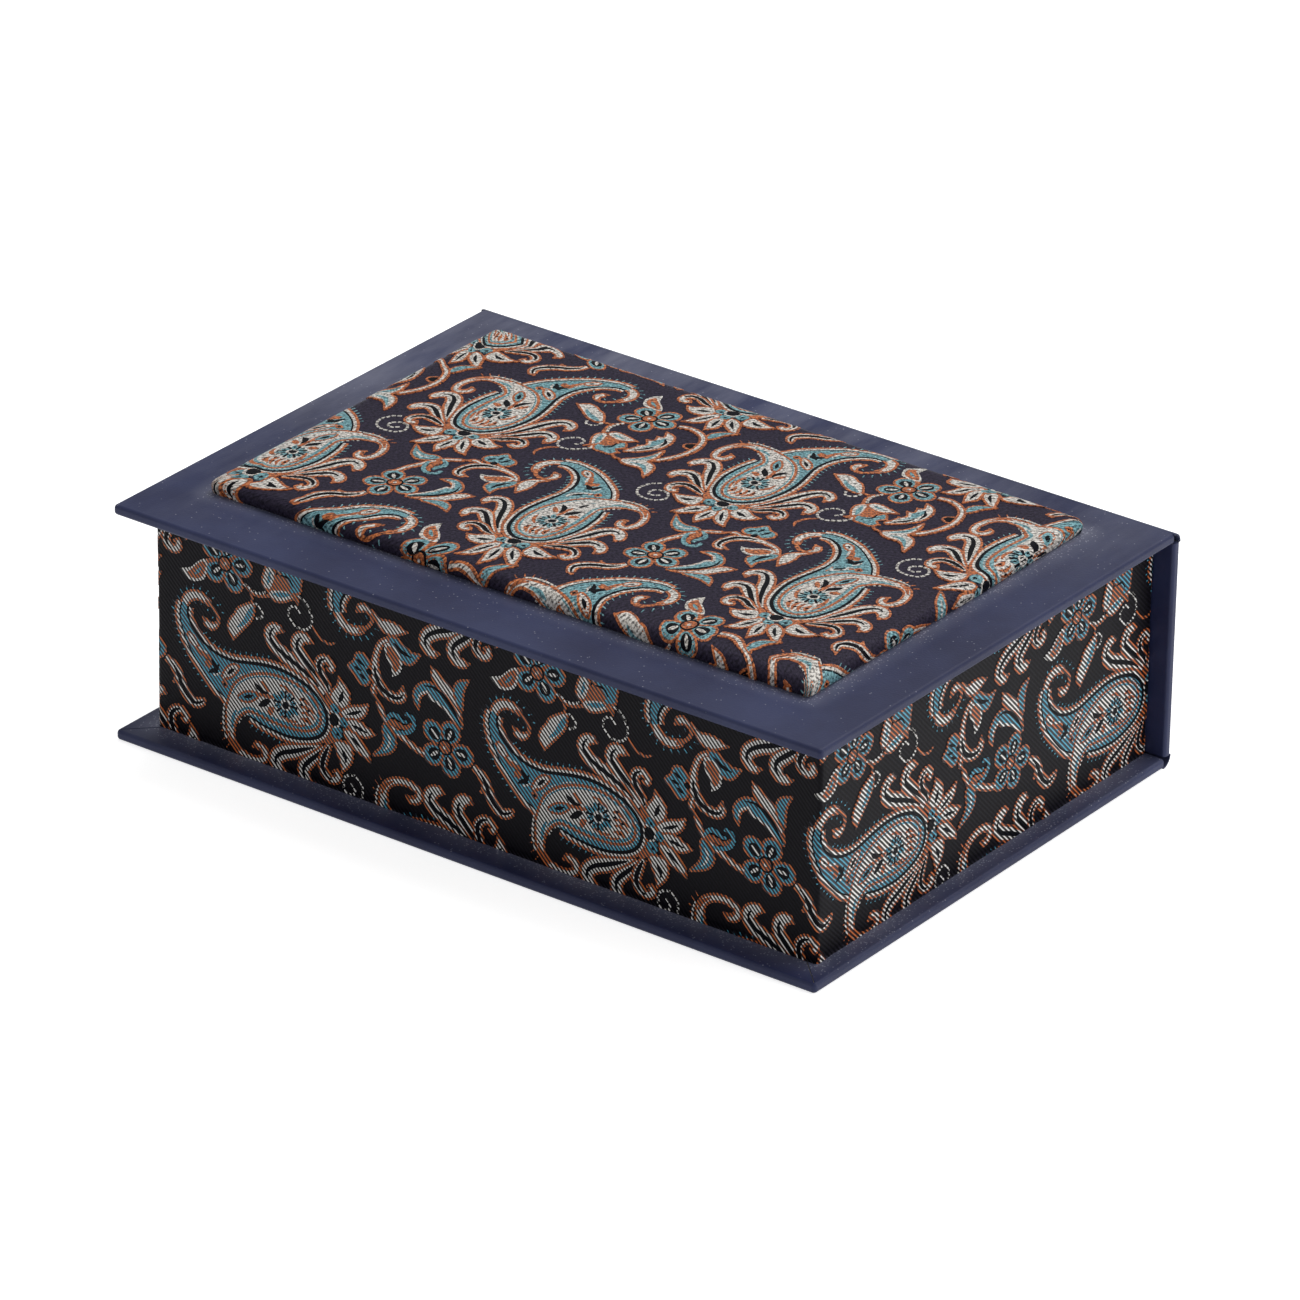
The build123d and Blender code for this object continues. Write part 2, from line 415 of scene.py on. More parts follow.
        # mix in the dust and the painted sheen, both in the dust's colour
        dusted_and_sheened = wire(m, "Mix", {"data_type": "RGBA", 0: self.dust_and_sheen_cover(m, place, normal), 6: colour,
                                7: linear(self.dust)}, 2)
        pebble = wire(m, "TexVoronoi", {"Vector": place, "Scale": 1 / (self.grain * MM * 2), "Randomness": 1.0})
        fine = wire(m, "TexNoise", {"Vector": place, "Scale": 1 / (self.grain * MM), "Detail": 3.0})
        slack = wire(m, "TexNoise", {"Vector": place, "Scale": 30.0, "Detail": 1.5})
        grained = wire(m, "Bump", {"Height": calc(m, "ADD", pebble, fine), "Strength": 0.5,
                                   "Distance": self.grain_depth, "Normal": bump(m, slack, 0.6, 0.0006)})
        return finish_surface(m, {"Base Color": dusted_and_sheened, "Normal": grained,
                                  "Roughness": 0.5, "IOR": 1.5, "Specular IOR Level": 0.3})


@dataclass(frozen=True)
class LiningCloth:
    """Plain-woven lining cotton: matt, with a fine square weave and slubs, threads that thicken here and there."""

    dark: str = "#0f1222"
    light: str = "#2c3252"
    thread: float = 0.5
    slub_length: float = 20.0
    slub_width: float = 0.9

    def material(self) -> bpy.types.Material:
        """Build the material.

        Returns:
            The new material.
        """
        m = blank_material("lining_cloth")
        place = sheet_place(m)
        long, wide = 1 / self.slub_length, 1 / self.slub_width
        waves, slubs = [], []
        for axis, stretch in (("Y", (long, wide, 1)), ("X", (wide, long, 1))):
            waves.append(wire(m, "TexWave", {"Vector": place, "bands_direction": axis, "Distortion": 0.4,
                                             "Scale": ONE_WAVE / self.thread}, "Fac"))
            drawn = wire(m, "Mapping", {"Vector": place, "Scale": stretch})
            slubs.append(wire(m, "TexNoise", {"Vector": drawn, "Scale": 1.0, "Detail": 3.0, "Roughness": 0.65}))
        uneven = calc(m, "MULTIPLY_ADD", calc(m, "ADD", *slubs), 1.3, -0.9)
        height = calc(m, "MULTIPLY_ADD", calc(m, "MAXIMUM", *waves), 0.25, uneven)
        return finish_surface(m, {
            "Base Color": colour_ramp(m, height, ((0.2, self.dark), (0.95, self.light))),
            "Normal": bump(m, height, 0.7, 0.0001), "Sheen Weight": 0.1, "Sheen Roughness": 0.5,
            "Roughness": 0.9, "IOR": 1.45, "Specular IOR Level": 0.2})


@dataclass(frozen=True)
class PressedFibre:
    """Felted fibre such as greyboard, gummed paper or wadding: matt, flecked, a little uneven."""

    name: str
    dark: str
    light: str
    fleck: float
    depth: float

    def material(self) -> bpy.types.Material:
        """Build the material.

        Returns:
            The new material.
        """
        m = blank_material(self.name)
        place = add_node(m, "TexCoord").outputs["Object"]
        flecks = wire(m, "TexNoise", {"Vector": place, "Scale": 1 / (self.fleck * MM), "Detail": 6.0,
                                      "Roughness": 0.7})
        return finish_surface(m, {"Base Color": colour_ramp(m, flecks, ((0.3, self.dark), (0.7, self.light))),
                                  "Normal": bump(m, flecks, 0.5, self.depth), "Roughness": 0.92, "IOR": 1.45})


# Drawing of the figures, in millimetres on the flat cloth
def catmull(points: Sequence[tuple[float, ...]], closed: bool = False, step: float = 0.7) -> list[tuple[float, ...]]:
    """Draw a smooth line through given points.

    Args:
        points: The points, each with any number of values.
        closed: Whether the line comes back to its start.
        step: Length of one straight piece.

    Returns:
        The points of the smooth line.
    """
    count = len(points)
    drawn = []
    for i in range(count if closed else count - 1):
        b, c = points[i], points[(i + 1) % count]
        a = points[i - 1] if i or closed else tuple(2 * x - y for x, y in zip(b, c))
        d = points[(i + 2) % count] if closed or i + 2 < count else tuple(2 * y - x for x, y in zip(b, c))
        cuts = max(1, round(math.dist(b[:2], c[:2]) / step))
        for k in range(cuts):
            t = k / cuts
            drawn.append(tuple(
                0.5 * (2 * q + (r - p) * t + (2 * p - 5 * q + 4 * r - s) * t * t + (3 * q - p - 3 * r + s) * t ** 3)
                for p, q, r, s in zip(a, b, c, d)))
    if not closed:
        drawn.append(tuple(points[-1]))
    return drawn


def even(points: Sequence[Flat], width: float) -> list[Stroke]:
    """Give a line one width along its length."""
    return [(p[0], p[1], width) for p in points]


def tapered(points: Sequence[Flat], widths: Sequence[float]) -> list[Stroke]:
    """Give a line widths that change evenly from point to point.

    Args:
        points: The line.
        widths: Two or more widths, spread over the line.

    Returns:
        The line with a width at each point.
    """
    last, spans = len(points) - 1, len(widths) - 1
    made = []
    for i, point in enumerate(points):
        x = i / last * spans
        k = min(int(x), spans - 1)
        made.append((point[0], point[1], widths[k] + (widths[k + 1] - widths[k]) * (x - k)))
    return made


def beside(points: Sequence[Flat], distance: float) -> list[Flat]:
    """Draw the line that runs beside another.

    Args:
        points: The first line.
        distance: How far to its left the new one runs; below zero is to its right.

    Returns:
        The new line.
    """
    line = catmull(points)
    made = []
    for i, (u, v) in enumerate(line):
        p, q = line[max(i - 1, 0)], line[min(i + 1, len(line) - 1)]
        length = math.dist(p, q) or 1.0
        made.append((u - (q[1] - p[1]) / length * distance, v + (q[0] - p[0]) / length * distance))
    return made


def ring(cu: float, cv: float, radius: float, count: int = 8) -> list[Flat]:
    """Points evenly round a centre."""
    turns = (math.tau * k / count for k in range(count))
    return [(cu + radius * math.cos(turn), cv + radius * math.sin(turn)) for turn in turns]


def moved(points: Iterable[Stroke | Flat], du: float, dv: float) -> list[tuple[float, ...]]:
    """Shift points on the cloth, widths kept."""
    return [(p[0] + du, p[1] + dv, *p[2:]) for p in points]


@dataclass
class Figure:
    """One flat woven shape: its yarn, its convex polygons and how many shapes lie under it."""

    yarn: Yarn
    polygons: list[Polygon]
    layer: int = 0


@dataclass
class Sketch:
    """Draws shapes in the order in which they cover each other."""

    outline_width: float = 1.2
    leaf_share: float = 0.8
    outline_end: Flat = (1.1, 0.5)
    vein_widths: tuple[float, ...] = (0.4, 1.1, 1.25, 1.0, 0.4)
    vein_longer: Flat = (0.03, 0.06)
    vein_stop: float = 0.94
    tip_stroke: tuple[Flat, ...] = ((-0.8, 1.5), (0.4, 0.9), (1.1, 0.3))
    comb_lean: float = 0.35
    comb_widths: Flat = (0.3, 0.2)
    figures: list[Figure] = field(default_factory=list)

    def ribbon(self, yarn: Yarn, path: Sequence[Stroke], closed: bool = False, step: float = 0.7) -> None:
        """Draw a band along a line.

        Args:
            yarn: The yarn that shows.
            path: The line, with a width at each point.
            closed: Whether the band comes back to its start.
            step: Length of one straight piece.
        """
        line = catmull(path, closed, step)
        count = len(line)
        rails = []
        for i, (u, v, width) in enumerate(line):
            p = line[i - 1] if i or closed else line[0]
            q = line[(i + 1) % count] if closed or i + 1 < count else line[-1]
            length = math.dist(p[:2], q[:2]) or 1.0
            nu, nv = (p[1] - q[1]) / length * width / 2, (q[0] - p[0]) / length * width / 2
            rails.append(((u + nu, v + nv), (u - nu, v - nv)))
        pairs = zip(rails, rails[1:] + rails[:1] if closed else rails[1:])
        self.figures.append(Figure(yarn, [(a, b, d, c) for (a, b), (c, d) in pairs]))

    def patch(self, yarn: Yarn, outline: Sequence[Flat]) -> None:
        """Fill a smooth outline.

        Args:
            yarn: The yarn that shows.
            outline: Given points round the shape.
        """
        line = catmull(outline, True)
        triangles = tessellate_polygon([[Vector((u, v, 0.0)) for u, v in line]])
        self.figures.append(Figure(yarn, [tuple(line[k] for k in triangle) for triangle in triangles]))

    def frond(self, points: Sequence[Flat], widths: Sequence[float], vein: tuple[float, float] | None = None) -> None:
        """Draw a silver leaf or stem with its orange outline.

        Args:
            points: Its midline.
            widths: Its widths along that line.
            vein: Where along it the dark vein starts and stops, as shares of its length.
        """
        line = tapered(catmull(points), [w * self.leaf_share for w in widths])
        edge = [(u, v, w + self.outline_width) for u, v, w in line]
        edge[-2:] = [(*point[:2], width) for point, width in zip(edge[-2:], self.outline_end)]
        self.ribbon(ORANGE, edge)
        self.ribbon(SILVER, line[:-2])
        if vein:
            shares = max(vein[0] - self.vein_longer[0], 0.0), min(vein[1] + self.vein_longer[1], self.vein_stop)
            start, stop = (round(share * (len(line) - 1)) for share in shares)
            self.ribbon(INK, tapered(line[start:stop + 1], self.vein_widths))

    def petal(self, outline: Sequence[Flat], yarn: Yarn = SILVER, heart: float = 0.0) -> None:
        """Draw a petal or leaf with its orange outline.

        Args:
            outline: Points round it. A point given twice is a sharp tip, which the outline runs past.
            yarn: The yarn of its field.
            heart: Size of its dark heart, as a share of the petal.
        """
        self.ribbon(ORANGE, even(outline, self.outline_width), closed=True)
        for i, tip in enumerate(outline):
            if tip == outline[i - 1]:
                back = [(outline[i - 2][k] + outline[(i + 1) % len(outline)][k]) / 2 for k in (0, 1)]
                reach = math.dist(tip, back)
                self.ribbon(ORANGE, [(*(t + (t - b) / reach * far for t, b in zip(tip, back)), width)
                                     for far, width in self.tip_stroke])
        self.patch(yarn, outline)
        if heart:
            cu, cv = (sum(p[k] for p in outline) / len(outline) for k in (0, 1))
            self.patch(INK, [(cu + (u - cu) * heart, cv + (v - cv) * heart) for u, v in outline])

    def comb(self, yarn: Yarn, points: Sequence[Flat], distance: float, pitch: float, reach: float) -> None:
        """Draw the row of fine strokes that stands off an outline.

        Args:
            yarn: The yarn of the strokes.
            points: The outline.
            distance: How far to its left the strokes start; below zero is to its right.
            pitch: Distance from stroke to stroke.
            reach: Length of a stroke.
        """
        line = beside(points, distance)
        sign = math.copysign(1.0, distance)
        travelled, due, lean = 0.0, pitch / 2, self.comb_lean
        for a, b in zip(line, line[1:]):
            length = math.dist(a, b)
            while length and due <= travelled + length:
                k = (due - travelled) / length
                u, v = (p + (q - p) * k for p, q in zip(a, b))
                tu, tv = ((q - p) / length for p, q in zip(a, b))
                tip = (u + (lean * tu - sign * tv) * reach, v + (lean * tv + sign * tu) * reach)
                self.ribbon(yarn, [(u, v, self.comb_widths[0]), (*tip, self.comb_widths[1])])
                due += pitch
            travelled += length

    def stitched(self, points: Sequence[Flat], width: float = 0.6, dash: float = 0.85, gap: float = 0.25) -> None:
        """Draw a line of short silver stitches.

        Args:
            points: The line.
            width: Its width.
            dash: Length of a stitch.
            gap: Distance between two stitches.
        """
        line = catmull(points, step=0.2)
        run, start, sewing = 0.0, 0, True
        for i in range(1, len(line)):
            run += math.dist(line[i - 1], line[i])
            if run >= (dash if sewing else gap):
                if sewing:
                    self.ribbon(SILVER, even((line[start], line[(start + i) // 2], line[i]), width), step=1.0)
                run, start, sewing = 0.0, i, not sewing

    def five_petals(self, cu: float, cv: float, centres: Sequence[Flat]) -> None:
        """Draw a five-petalled flower.

        Args:
            cu: The flower's middle along the cloth.
            cv: The flower's middle up the cloth.
            centres: The middles of its petals.
        """
        for u, v in centres:
            turn, r = math.atan2(v - cv, u - cu), math.dist((u, v), (cu, cv))
            half = [(2.6, 0.9), (1.0, 2.3), (-1.2, 1.9), (-2.7, 0.5)]
            shape = half + [(x, -y) for x, y in reversed(half)]
            for yarn, size, back in ((TEAL, 1.0, 0.0), (INK, 0.68, 0.35)):
                line = [(cu + (r - back + x * size) * math.cos(turn) - y * size * math.sin(turn),
                         cv + (r - back + x * size) * math.sin(turn) + y * size * math.cos(turn)) for x, y in shape]
                if yarn is TEAL:
                    self.petal(line, yarn)
                else:
                    self.patch(yarn, line)
            self.ribbon(SILVER, [(cu + x * math.cos(turn), cv + x * math.sin(turn), width)
                                 for x, width in ((r - 1.9, 0.4), (r - 0.4, 1.0), (r + 1.0, 0.4))])
        self.patch(INK, ring(cu, cv, 2.1))
        self.patch(ORANGE, ring(cu, cv, 1.6))
        self.patch(SILVER, ring(cu, cv, 0.5))


# Lines of the boteh that more than one of its shapes follow
UPPER = [(-29.5, 16.8), (-29.6, 14.6), (-28.4, 12.0), (-26.6, 10.0), (-24.0, 8.2), (-20.4, 6.9), (-16.0, 6.6),
         (-12.0, 7.3), (-8.0, 8.1), (-4.0, 8.6), (0.0, 8.5), (4.0, 7.7), (7.6, 6.4), (10.0, 4.6), (11.7, 2.6),
         (12.4, 0.2), (12.2, -2.2), (11.0, -4.4), (8.6, -6.2), (5.0, -7.5), (1.0, -8.2), (-3.0, -8.1), (-7.0, -7.6),
         (-10.8, -6.6)]
LOWER = [(-17.6, -4.4), (-21.8, -1.9), (-25.6, 1.8), (-29.0, 6.0), (-31.0, 10.0), (-31.9, 14.0), (-31.4, 17.2)]
CURL = [(-31.0, 16.2), (-29.4, 19.2), (-26.8, 20.5), (-24.2, 20.1), (-21.8, 18.6), (-20.3, 16.6), (-20.6, 14.6),
        (-22.4, 13.6), (-24.0, 14.4), (-25.0, 15.6)]
INNER = [(-18.2, -7.0), (-17.6, -4.6), (-16.8, -2.0), (-15.6, 0.4), (-13.8, 2.4), (-11.0, 4.3), (-8.0, 5.6),
         (-4.6, 6.5), (-0.6, 6.8), (3.4, 6.3), (6.6, 5.1), (9.0, 3.2), (10.3, 1.0), (10.5, -1.2), (9.5, -3.2),
         (7.2, -4.7), (4.0, -5.6), (0.0, -5.9), (-4.0, -5.8), (-8.0, -5.4), (-10.6, -5.2), (-12.6, -6.2),
         (-14.4, -8.2), (-15.4, -10.4)]
INNER_TAIL = [(-13.4, -3.4), (-15.4, -5.6), (-16.5, -8.4), (-16.7, -11.2), (-16.6, -13.6), (-15.2, -15.8),
              (-12.6, -17.2), (-9.4, -17.6), (-6.8, -16.7), (-6.1, -15.0), (-7.3, -13.7), (-9.0, -13.6),
              (-10.2, -14.5)]


@dataclass
class PaisleyRepeat:
    """One repeat of the cloth: a boteh, its mirror image half a repeat on, and the sprays between them."""

    along: float = 92.0
    up: float = 73.0
    mirror_along: float = 46.0
    mirror_up: float = 46.2
    layer_grid: float = 0.5

    @staticmethod
    def boteh(s: Sketch) -> None:
        """Draw the boteh: a droplet with a curled tail, a smaller one inside it and a fringe of leaves.

        Args:
            s: The sketch that it joins.
        """
        # fine strokes that stand off the outlines
        for yarn, line, distance, pitch, reach in ((TEAL, CURL[:6], 1.6, 2.0, 1.1), (TEAL, CURL[1:6], -1.3, 2.4, 0.8),
                                                   (TEAL, LOWER[1:], 1.55, 1.7, 1.2),
                                                   (TEAL, UPPER[3:10], 1.6, 1.7, 1.2),
                                                   (TEAL, UPPER[-4:], 1.6, 1.7, 1.2),
                                                   (ORANGE, INNER_TAIL[2:6], -1.9, 1.8, 1.3)):
            s.comb(yarn, line, distance, pitch, reach)
        # tail end and contours
        s.frond(CURL[:5], (1.6, 2.1, 1.9, 0.7))
        s.ribbon(ORANGE, tapered(CURL[3:8], (0.9, 1.1, 1.3)))
        s.frond(CURL[6:], (0.5, 1.5, 1.6, 1.0))
        for yarn, line, distance, width in ((ORANGE, UPPER, 1.4, 0.75), (ORANGE, LOWER, 1.35, 0.75),
                                            (SILVER, UPPER, 0.75, 0.65), (SILVER, LOWER, 0.65, 0.75)):
            s.ribbon(yarn, even(beside(line, distance), width))
        s.patch(TEAL, UPPER + LOWER)
        s.ribbon(INK, tapered(UPPER, [0.4, 0.7, 0.8, 0.95, 0.95, 0.95, 0.9, 0.8, 0.5]))
        s.ribbon(INK, even(LOWER, 0.35))
        # flowerets in the tail
        s.petal([(-19.0, 1.0), (-17.9, 3.6), (-15.8, 5.4), (-14.2, 5.4), (-14.9, 4.2), (-16.4, 2.4)], heart=0.5)
        s.ribbon(ORANGE, [(-17.6, 1.6, 0.7), (-18.4, 0.6, 0.5)])
        s.petal([(-29.4, 9.8), (-28.0, 9.4), (-26.6, 7.4), (-27.2, 6.8), (-29.0, 8.2)], heart=0.4)
        s.ribbon(ORANGE, [(-27.0, 6.6, 0.6), (-25.8, 6.0, 1.4), (-24.4, 5.2, 1.2), (-23.0, 5.0, 1.8),
                          (-23.6, 3.2, 2.0), (-24.4, 2.8, 0.6)])
        s.ribbon(SILVER, [(-26.4, 6.9, 0.3), (-25.0, 6.5, 0.6), (-23.6, 6.2, 0.3)])
        for leg in ([(-22.4, 5.0, 0.4), (-21.4, 3.6, 1.3), (-20.4, 2.6, 0.4)],
                    [(-23.2, 1.2, 0.4), (-21.8, 2.2, 1.2), (-20.4, 2.0, 0.6)],
                    [(-21.6, 2.8, 0.5), (-20.6, 3.4, 0.9), (-20.2, 4.2, 0.3)]):
            s.ribbon(INK, leg)
        s.ribbon(SILVER, [(-22.2, 1.0, 0.3), (-20.9, 1.3, 0.6), (-19.8, 2.2, 0.3)])
        s.patch(ORANGE, [(-19.6, -0.3), (-18.5, 0.6), (-17.4, -0.3), (-18.4, -1.6)])
        s.patch(INK, [(-19.0, -0.4), (-18.4, 0.0), (-17.9, -0.5), (-18.4, -1.0)])
        # inner boteh
        s.frond(INNER_TAIL, (3.6, 3.4, 2.6, 1.8, 1.4, 1.4, 1.5, 1.6, 1.2))
        s.patch(SILVER, INNER)
        s.ribbon(ORANGE, even(INNER, 0.7))
        s.stitched(beside(INNER[3:], 0.66)[::2], 0.34, 0.5, 0.5)
        s.ribbon(TEAL, tapered(beside(INNER[2:15], -0.72)[::2], (0.3, 0.4, 0.6)))
        s.ribbon(TEAL, tapered(beside(INNER[13:23], -0.85)[::2], (0.6, 0.9, 0.9, 0.8, 0.4)))
        s.ribbon(TEAL, [(-15.0, -6.2, 0.4), (-15.9, -8.4, 1.0), (-16.2, -11.4, 0.4)])
        s.ribbon(SILVER, tapered([(-18.6, -5.6), (-18.9, -8.6), (-18.8, -12.0), (-18.0, -14.6)], [0.3, 0.55, 0.3]))
        s.ribbon(ORANGE, [(-17.2, -12.4, 0.4), (-16.3, -14.8, 1.1), (-13.8, -16.8, 0.4)])
        s.ribbon(ORANGE, [(-9.6, -13.9, 0.4), (-7.8, -14.3, 0.9), (-6.9, -15.6, 0.7), (-7.2, -16.5, 0.3)])
        # eye, leaves and heart
        s.petal([(-14.2, -2.7), (-12.4, -0.9), (-10.2, -0.1), (-8.4, -0.1), (-9.6, -1.5), (-11.6, -2.7)], TEAL,
                heart=0.5)
        s.ribbon(ORANGE, [(-8.9, -0.1, 0.8), (-6.8, 0.4, 1.0), (-4.8, 0.5, 1.1), (-3.4, 0.8, 0.5)])
        s.ribbon(INK, [(-9.6, 3.1, 0.2), (-8.4, 1.9, 1.3), (-6.6, 1.2, 1.0), (-5.2, 1.3, 0.3)])
        s.ribbon(INK, [(-8.2, -2.9, 0.3), (-6.8, -2.0, 1.6), (-5.4, -0.8, 1.3), (-4.4, -0.5, 0.3)])
        s.patch(ORANGE, [(-7.8, 3.7), (-6.4, 3.8), (-5.0, 2.6), (-4.8, 1.7), (-6.2, 2.1)])
        s.patch(ORANGE, [(-5.4, -3.0), (-4.6, -1.9), (-3.4, -2.2), (-3.9, -3.6), (-4.8, -4.4)])
        for k in range(8):
            a = math.radians(22 + 45 * k)
            r0, r1 = 1.5, (4.0 if k % 2 else 3.5)
            c, d = math.cos(a), math.sin(a)
            s.ribbon(TEAL, [(r0 * c, r0 * d, 0.6), ((r0 + r1) / 2 * c, (r0 + r1) / 2 * d, 1.3),
                            (r1 * c, r1 * d, 0.4)])
            s.ribbon(INK, [(2.3 * c, 2.3 * d, 0.2), (2.8 * c, 2.8 * d, 0.5), (3.3 * c, 3.3 * d, 0.2)])
            b = a + math.radians(22.5)
            s.ribbon(INK, [(1.6 * math.cos(b), 1.6 * math.sin(b), 0.5), (3.5 * math.cos(b), 3.5 * math.sin(b), 0.6)])
        s.patch(SILVER, ring(0.1, -0.2, 1.45))
        s.patch(INK, ring(0.1, -0.2, 1.0))
        for path in ([(-1.8, 4.6, 0.3), (0.2, 4.4, 0.8), (2.0, 3.4, 0.8), (2.8, 2.6, 0.3)],
                     [(4.2, 2.6, 0.4), (5.8, 2.9, 1.2), (8.2, 1.4, 0.4)],
                     [(4.2, 0.6, 0.3), (6.4, 1.1, 0.9), (8.8, 0.2, 0.4)],
                     [(4.4, -0.8, 0.3), (6.6, -0.4, 0.9), (8.6, -1.4, 0.3)],
                     [(4.4, -2.4, 0.4), (6.4, -2.2, 1.3), (7.8, -2.8, 0.4)],
                     [(-1.2, -3.4, 0.3), (1.2, -4.0, 0.8), (3.8, -3.4, 0.3)],
                     [(2.2, -4.6, 0.3), (4.6, -4.2, 0.6), (6.0, -3.6, 0.3)]):
            s.ribbon(ORANGE, path)
        for u, v in ((5.3, 3.0), (7.0, 0.5), (6.4, -2.4), (4.8, 1.4)):
            s.patch(INK, [(u - 0.6, v), (u, v + 0.4), (u + 0.6, v), (u, v - 0.4)])
        # fringe, upper side
        s.frond([(11.6, 6.4), (7.6, 9.4), (3.0, 11.6), (-1.2, 13.3), (-4.0, 15.3), (-4.6, 17.3), (-3.0, 19.2),
                 (-0.2, 18.8)], (0.8, 2.2, 4.0, 3.8, 3.2, 1.0), vein=(0.1, 0.8))
        s.frond([(12.6, 6.9), (9.7, 10.2), (6.8, 12.7), (4.0, 15.2), (3.5, 17.3), (5.2, 19.2), (8.6, 18.7)],
                (0.8, 2.6, 3.7, 3.3, 1.0), vein=(0.1, 0.72))
        s.frond([(13.4, 6.6), (12.3, 9.2), (10.6, 11.4), (10.0, 13.6), (10.9, 15.2), (12.6, 15.6), (13.9, 14.6),
                 (13.4, 13.2), (12.2, 13.6)], (0.8, 2.2, 2.1, 1.6, 1.2), vein=(0.08, 0.62))
        # fringe, lower side
        s.frond([(10.2, -7.9), (6.0, -9.9), (2.4, -11.6), (-0.8, -13.0), (-2.9, -14.9), (-2.8, -16.8), (-0.9, -18.4),
                 (1.6, -18.4)], (0.8, 2.4, 3.9, 4.0, 3.4, 1.0), vein=(0.12, 0.72))
        s.frond([(11.6, -7.6), (9.4, -10.4), (7.2, -12.6), (5.5, -14.8), (5.6, -17.0), (7.4, -18.8), (10.0, -18.2)],
                (0.8, 2.6, 3.5, 3.1, 1.0), vein=(0.12, 0.66))
        s.frond([(13.2, -6.4), (12.1, -8.8), (11.2, -11.2), (11.2, -13.4), (12.6, -15.1), (14.4, -15.4),
                 (15.9, -14.3), (15.3, -13.0), (14.0, -13.3)], (0.8, 2.2, 2.1, 1.6, 1.2), vein=(0.08, 0.62))
        # petals, each with a sharp tip and a dark vein
        for outline, vein in (([(13.8, 6.2), (14.4, 8.0), (15.8, 9.8), (16.2, 11.4), (16.2, 11.4), (17.6, 10.6),
                                (18.7, 9.0), (18.9, 7.0), (18.0, 4.9), (16.0, 4.6)],
                               [(16.0, 5.6, 0.3), (16.7, 7.0, 1.3), (17.2, 8.8, 0.3)]),
                              ([(16.6, 2.9), (18.4, 4.7), (20.4, 5.7), (22.6, 6.4), (24.3, 7.2), (24.3, 7.2),
                                (23.9, 5.4), (22.6, 3.8), (20.6, 2.7), (18.6, 2.2)],
                               [(18.4, 3.2, 0.3), (20.6, 4.2, 0.9), (22.8, 5.4, 0.3)]),
                              ([(18.4, 1.3), (20.4, 2.3), (22.4, 2.1), (24.4, 1.3), (26.2, 0.5), (26.2, 0.5),
                                (24.6, -0.6), (23.2, -1.0), (21.4, -0.6), (19.4, 0.0)],
                               [(19.8, 0.8, 0.3), (22.0, 0.6, 0.9), (24.4, 0.2, 0.3)]),
                              ([(17.8, -1.2), (20.2, -1.2), (22.0, -2.2), (23.6, -4.0), (24.8, -5.4), (24.9, -6.6),
                                (24.9, -6.6), (22.8, -5.7), (20.8, -5.0), (19.0, -3.6)],
                               [(19.2, -2.2, 0.3), (21.2, -3.2, 0.9), (23.2, -4.8, 0.3)]),
                              ([(15.0, -5.2), (17.2, -4.6), (19.2, -5.0), (19.9, -6.8), (19.6, -8.8), (18.6, -10.4),
                                (17.3, -11.8), (17.3, -11.8), (17.0, -10.2), (15.8, -7.6)],
                               [(16.8, -6.2, 0.3), (17.9, -7.8, 1.2), (18.1, -9.6, 0.3)])):
            s.petal(outline)
            s.ribbon(INK, vein)
        s.ribbon(ORANGE, [(12.2, 6.4, 1.0), (13.6, 5.0, 1.7), (16.2, 3.4, 0.9)])
        s.ribbon(ORANGE, [(12.0, -6.4, 1.2), (13.6, -4.8, 2.0), (16.2, -4.0, 0.9)])
        for u, v, r in ((14.8, 3.5, 1.4), (17.5, 0.8, 1.3), (15.5, -2.6, 1.6)):
            s.patch(TEAL, ring(u, v, r, 6))
            s.patch(INK, ring(u + 0.3, v - 0.2, r * 0.35, 5))
        s.ribbon(SILVER, [(13.6, 2.6, 0.3), (15.0, 2.3, 0.5), (16.2, 1.4, 0.5), (16.0, -0.6, 0.5), (14.4, -1.4, 0.3)])
        s.patch(INK, [(13.4, 1.6), (14.6, 2.0), (15.7, 1.2), (15.5, -0.3), (14.4, -1.0), (13.4, -0.6)])

    @staticmethod
    def bell_spray(s: Sketch) -> None:
        """Draw the spray with the bell flower, the hooked leaves and the first five-petalled flower.

        Args:
            s: The sketch that it joins.
        """
        s.five_petals(47.4, 3.7, [(44.0, 6.6), (48.9, 7.7), (52.5, 3.2), (49.0, -0.4), (44.1, 1.0)])
        # stem, scroll and drooping leaf
        s.frond([(41.4, 0.0), (38.4, 0.8), (35.6, 2.1), (32.4, 3.5), (29.9, 5.4), (28.4, 7.8), (27.2, 10.2)],
                (0.9, 1.0, 0.9, 0.7))
        s.petal([(29.6, 4.0), (31.4, 3.1), (32.6, 1.0), (32.5, -0.8), (31.0, -2.7), (28.6, -3.9), (26.8, -4.6),
                 (26.8, -4.6), (28.9, -2.2), (29.7, 0.2), (29.3, 2.2)], TEAL)
        s.ribbon(SILVER, [(30.2, 2.6, 0.2), (31.2, 0.8, 0.7), (30.8, -1.2, 0.7), (29.4, -2.8, 0.2)])
        s.ribbon(TEAL, tapered([(32.6, 3.2), (35.2, 3.6), (37.4, 4.9), (38.3, 6.8), (37.6, 8.4), (35.6, 8.8)],
                               [0.9, 1.1, 1.1, 0.9]))
        s.ribbon(TEAL, tapered([(30.2, 5.0), (31.0, 6.8), (32.8, 7.5), (34.8, 6.6), (36.2, 6.6)], [0.9, 1.2, 0.7]))
        s.ribbon(ORANGE, tapered([(30.4, 4.2), (31.8, 5.4), (34.0, 5.2), (36.0, 5.2), (37.4, 6.6)],
                                 [1.2, 1.7, 1.2, 0.6]))
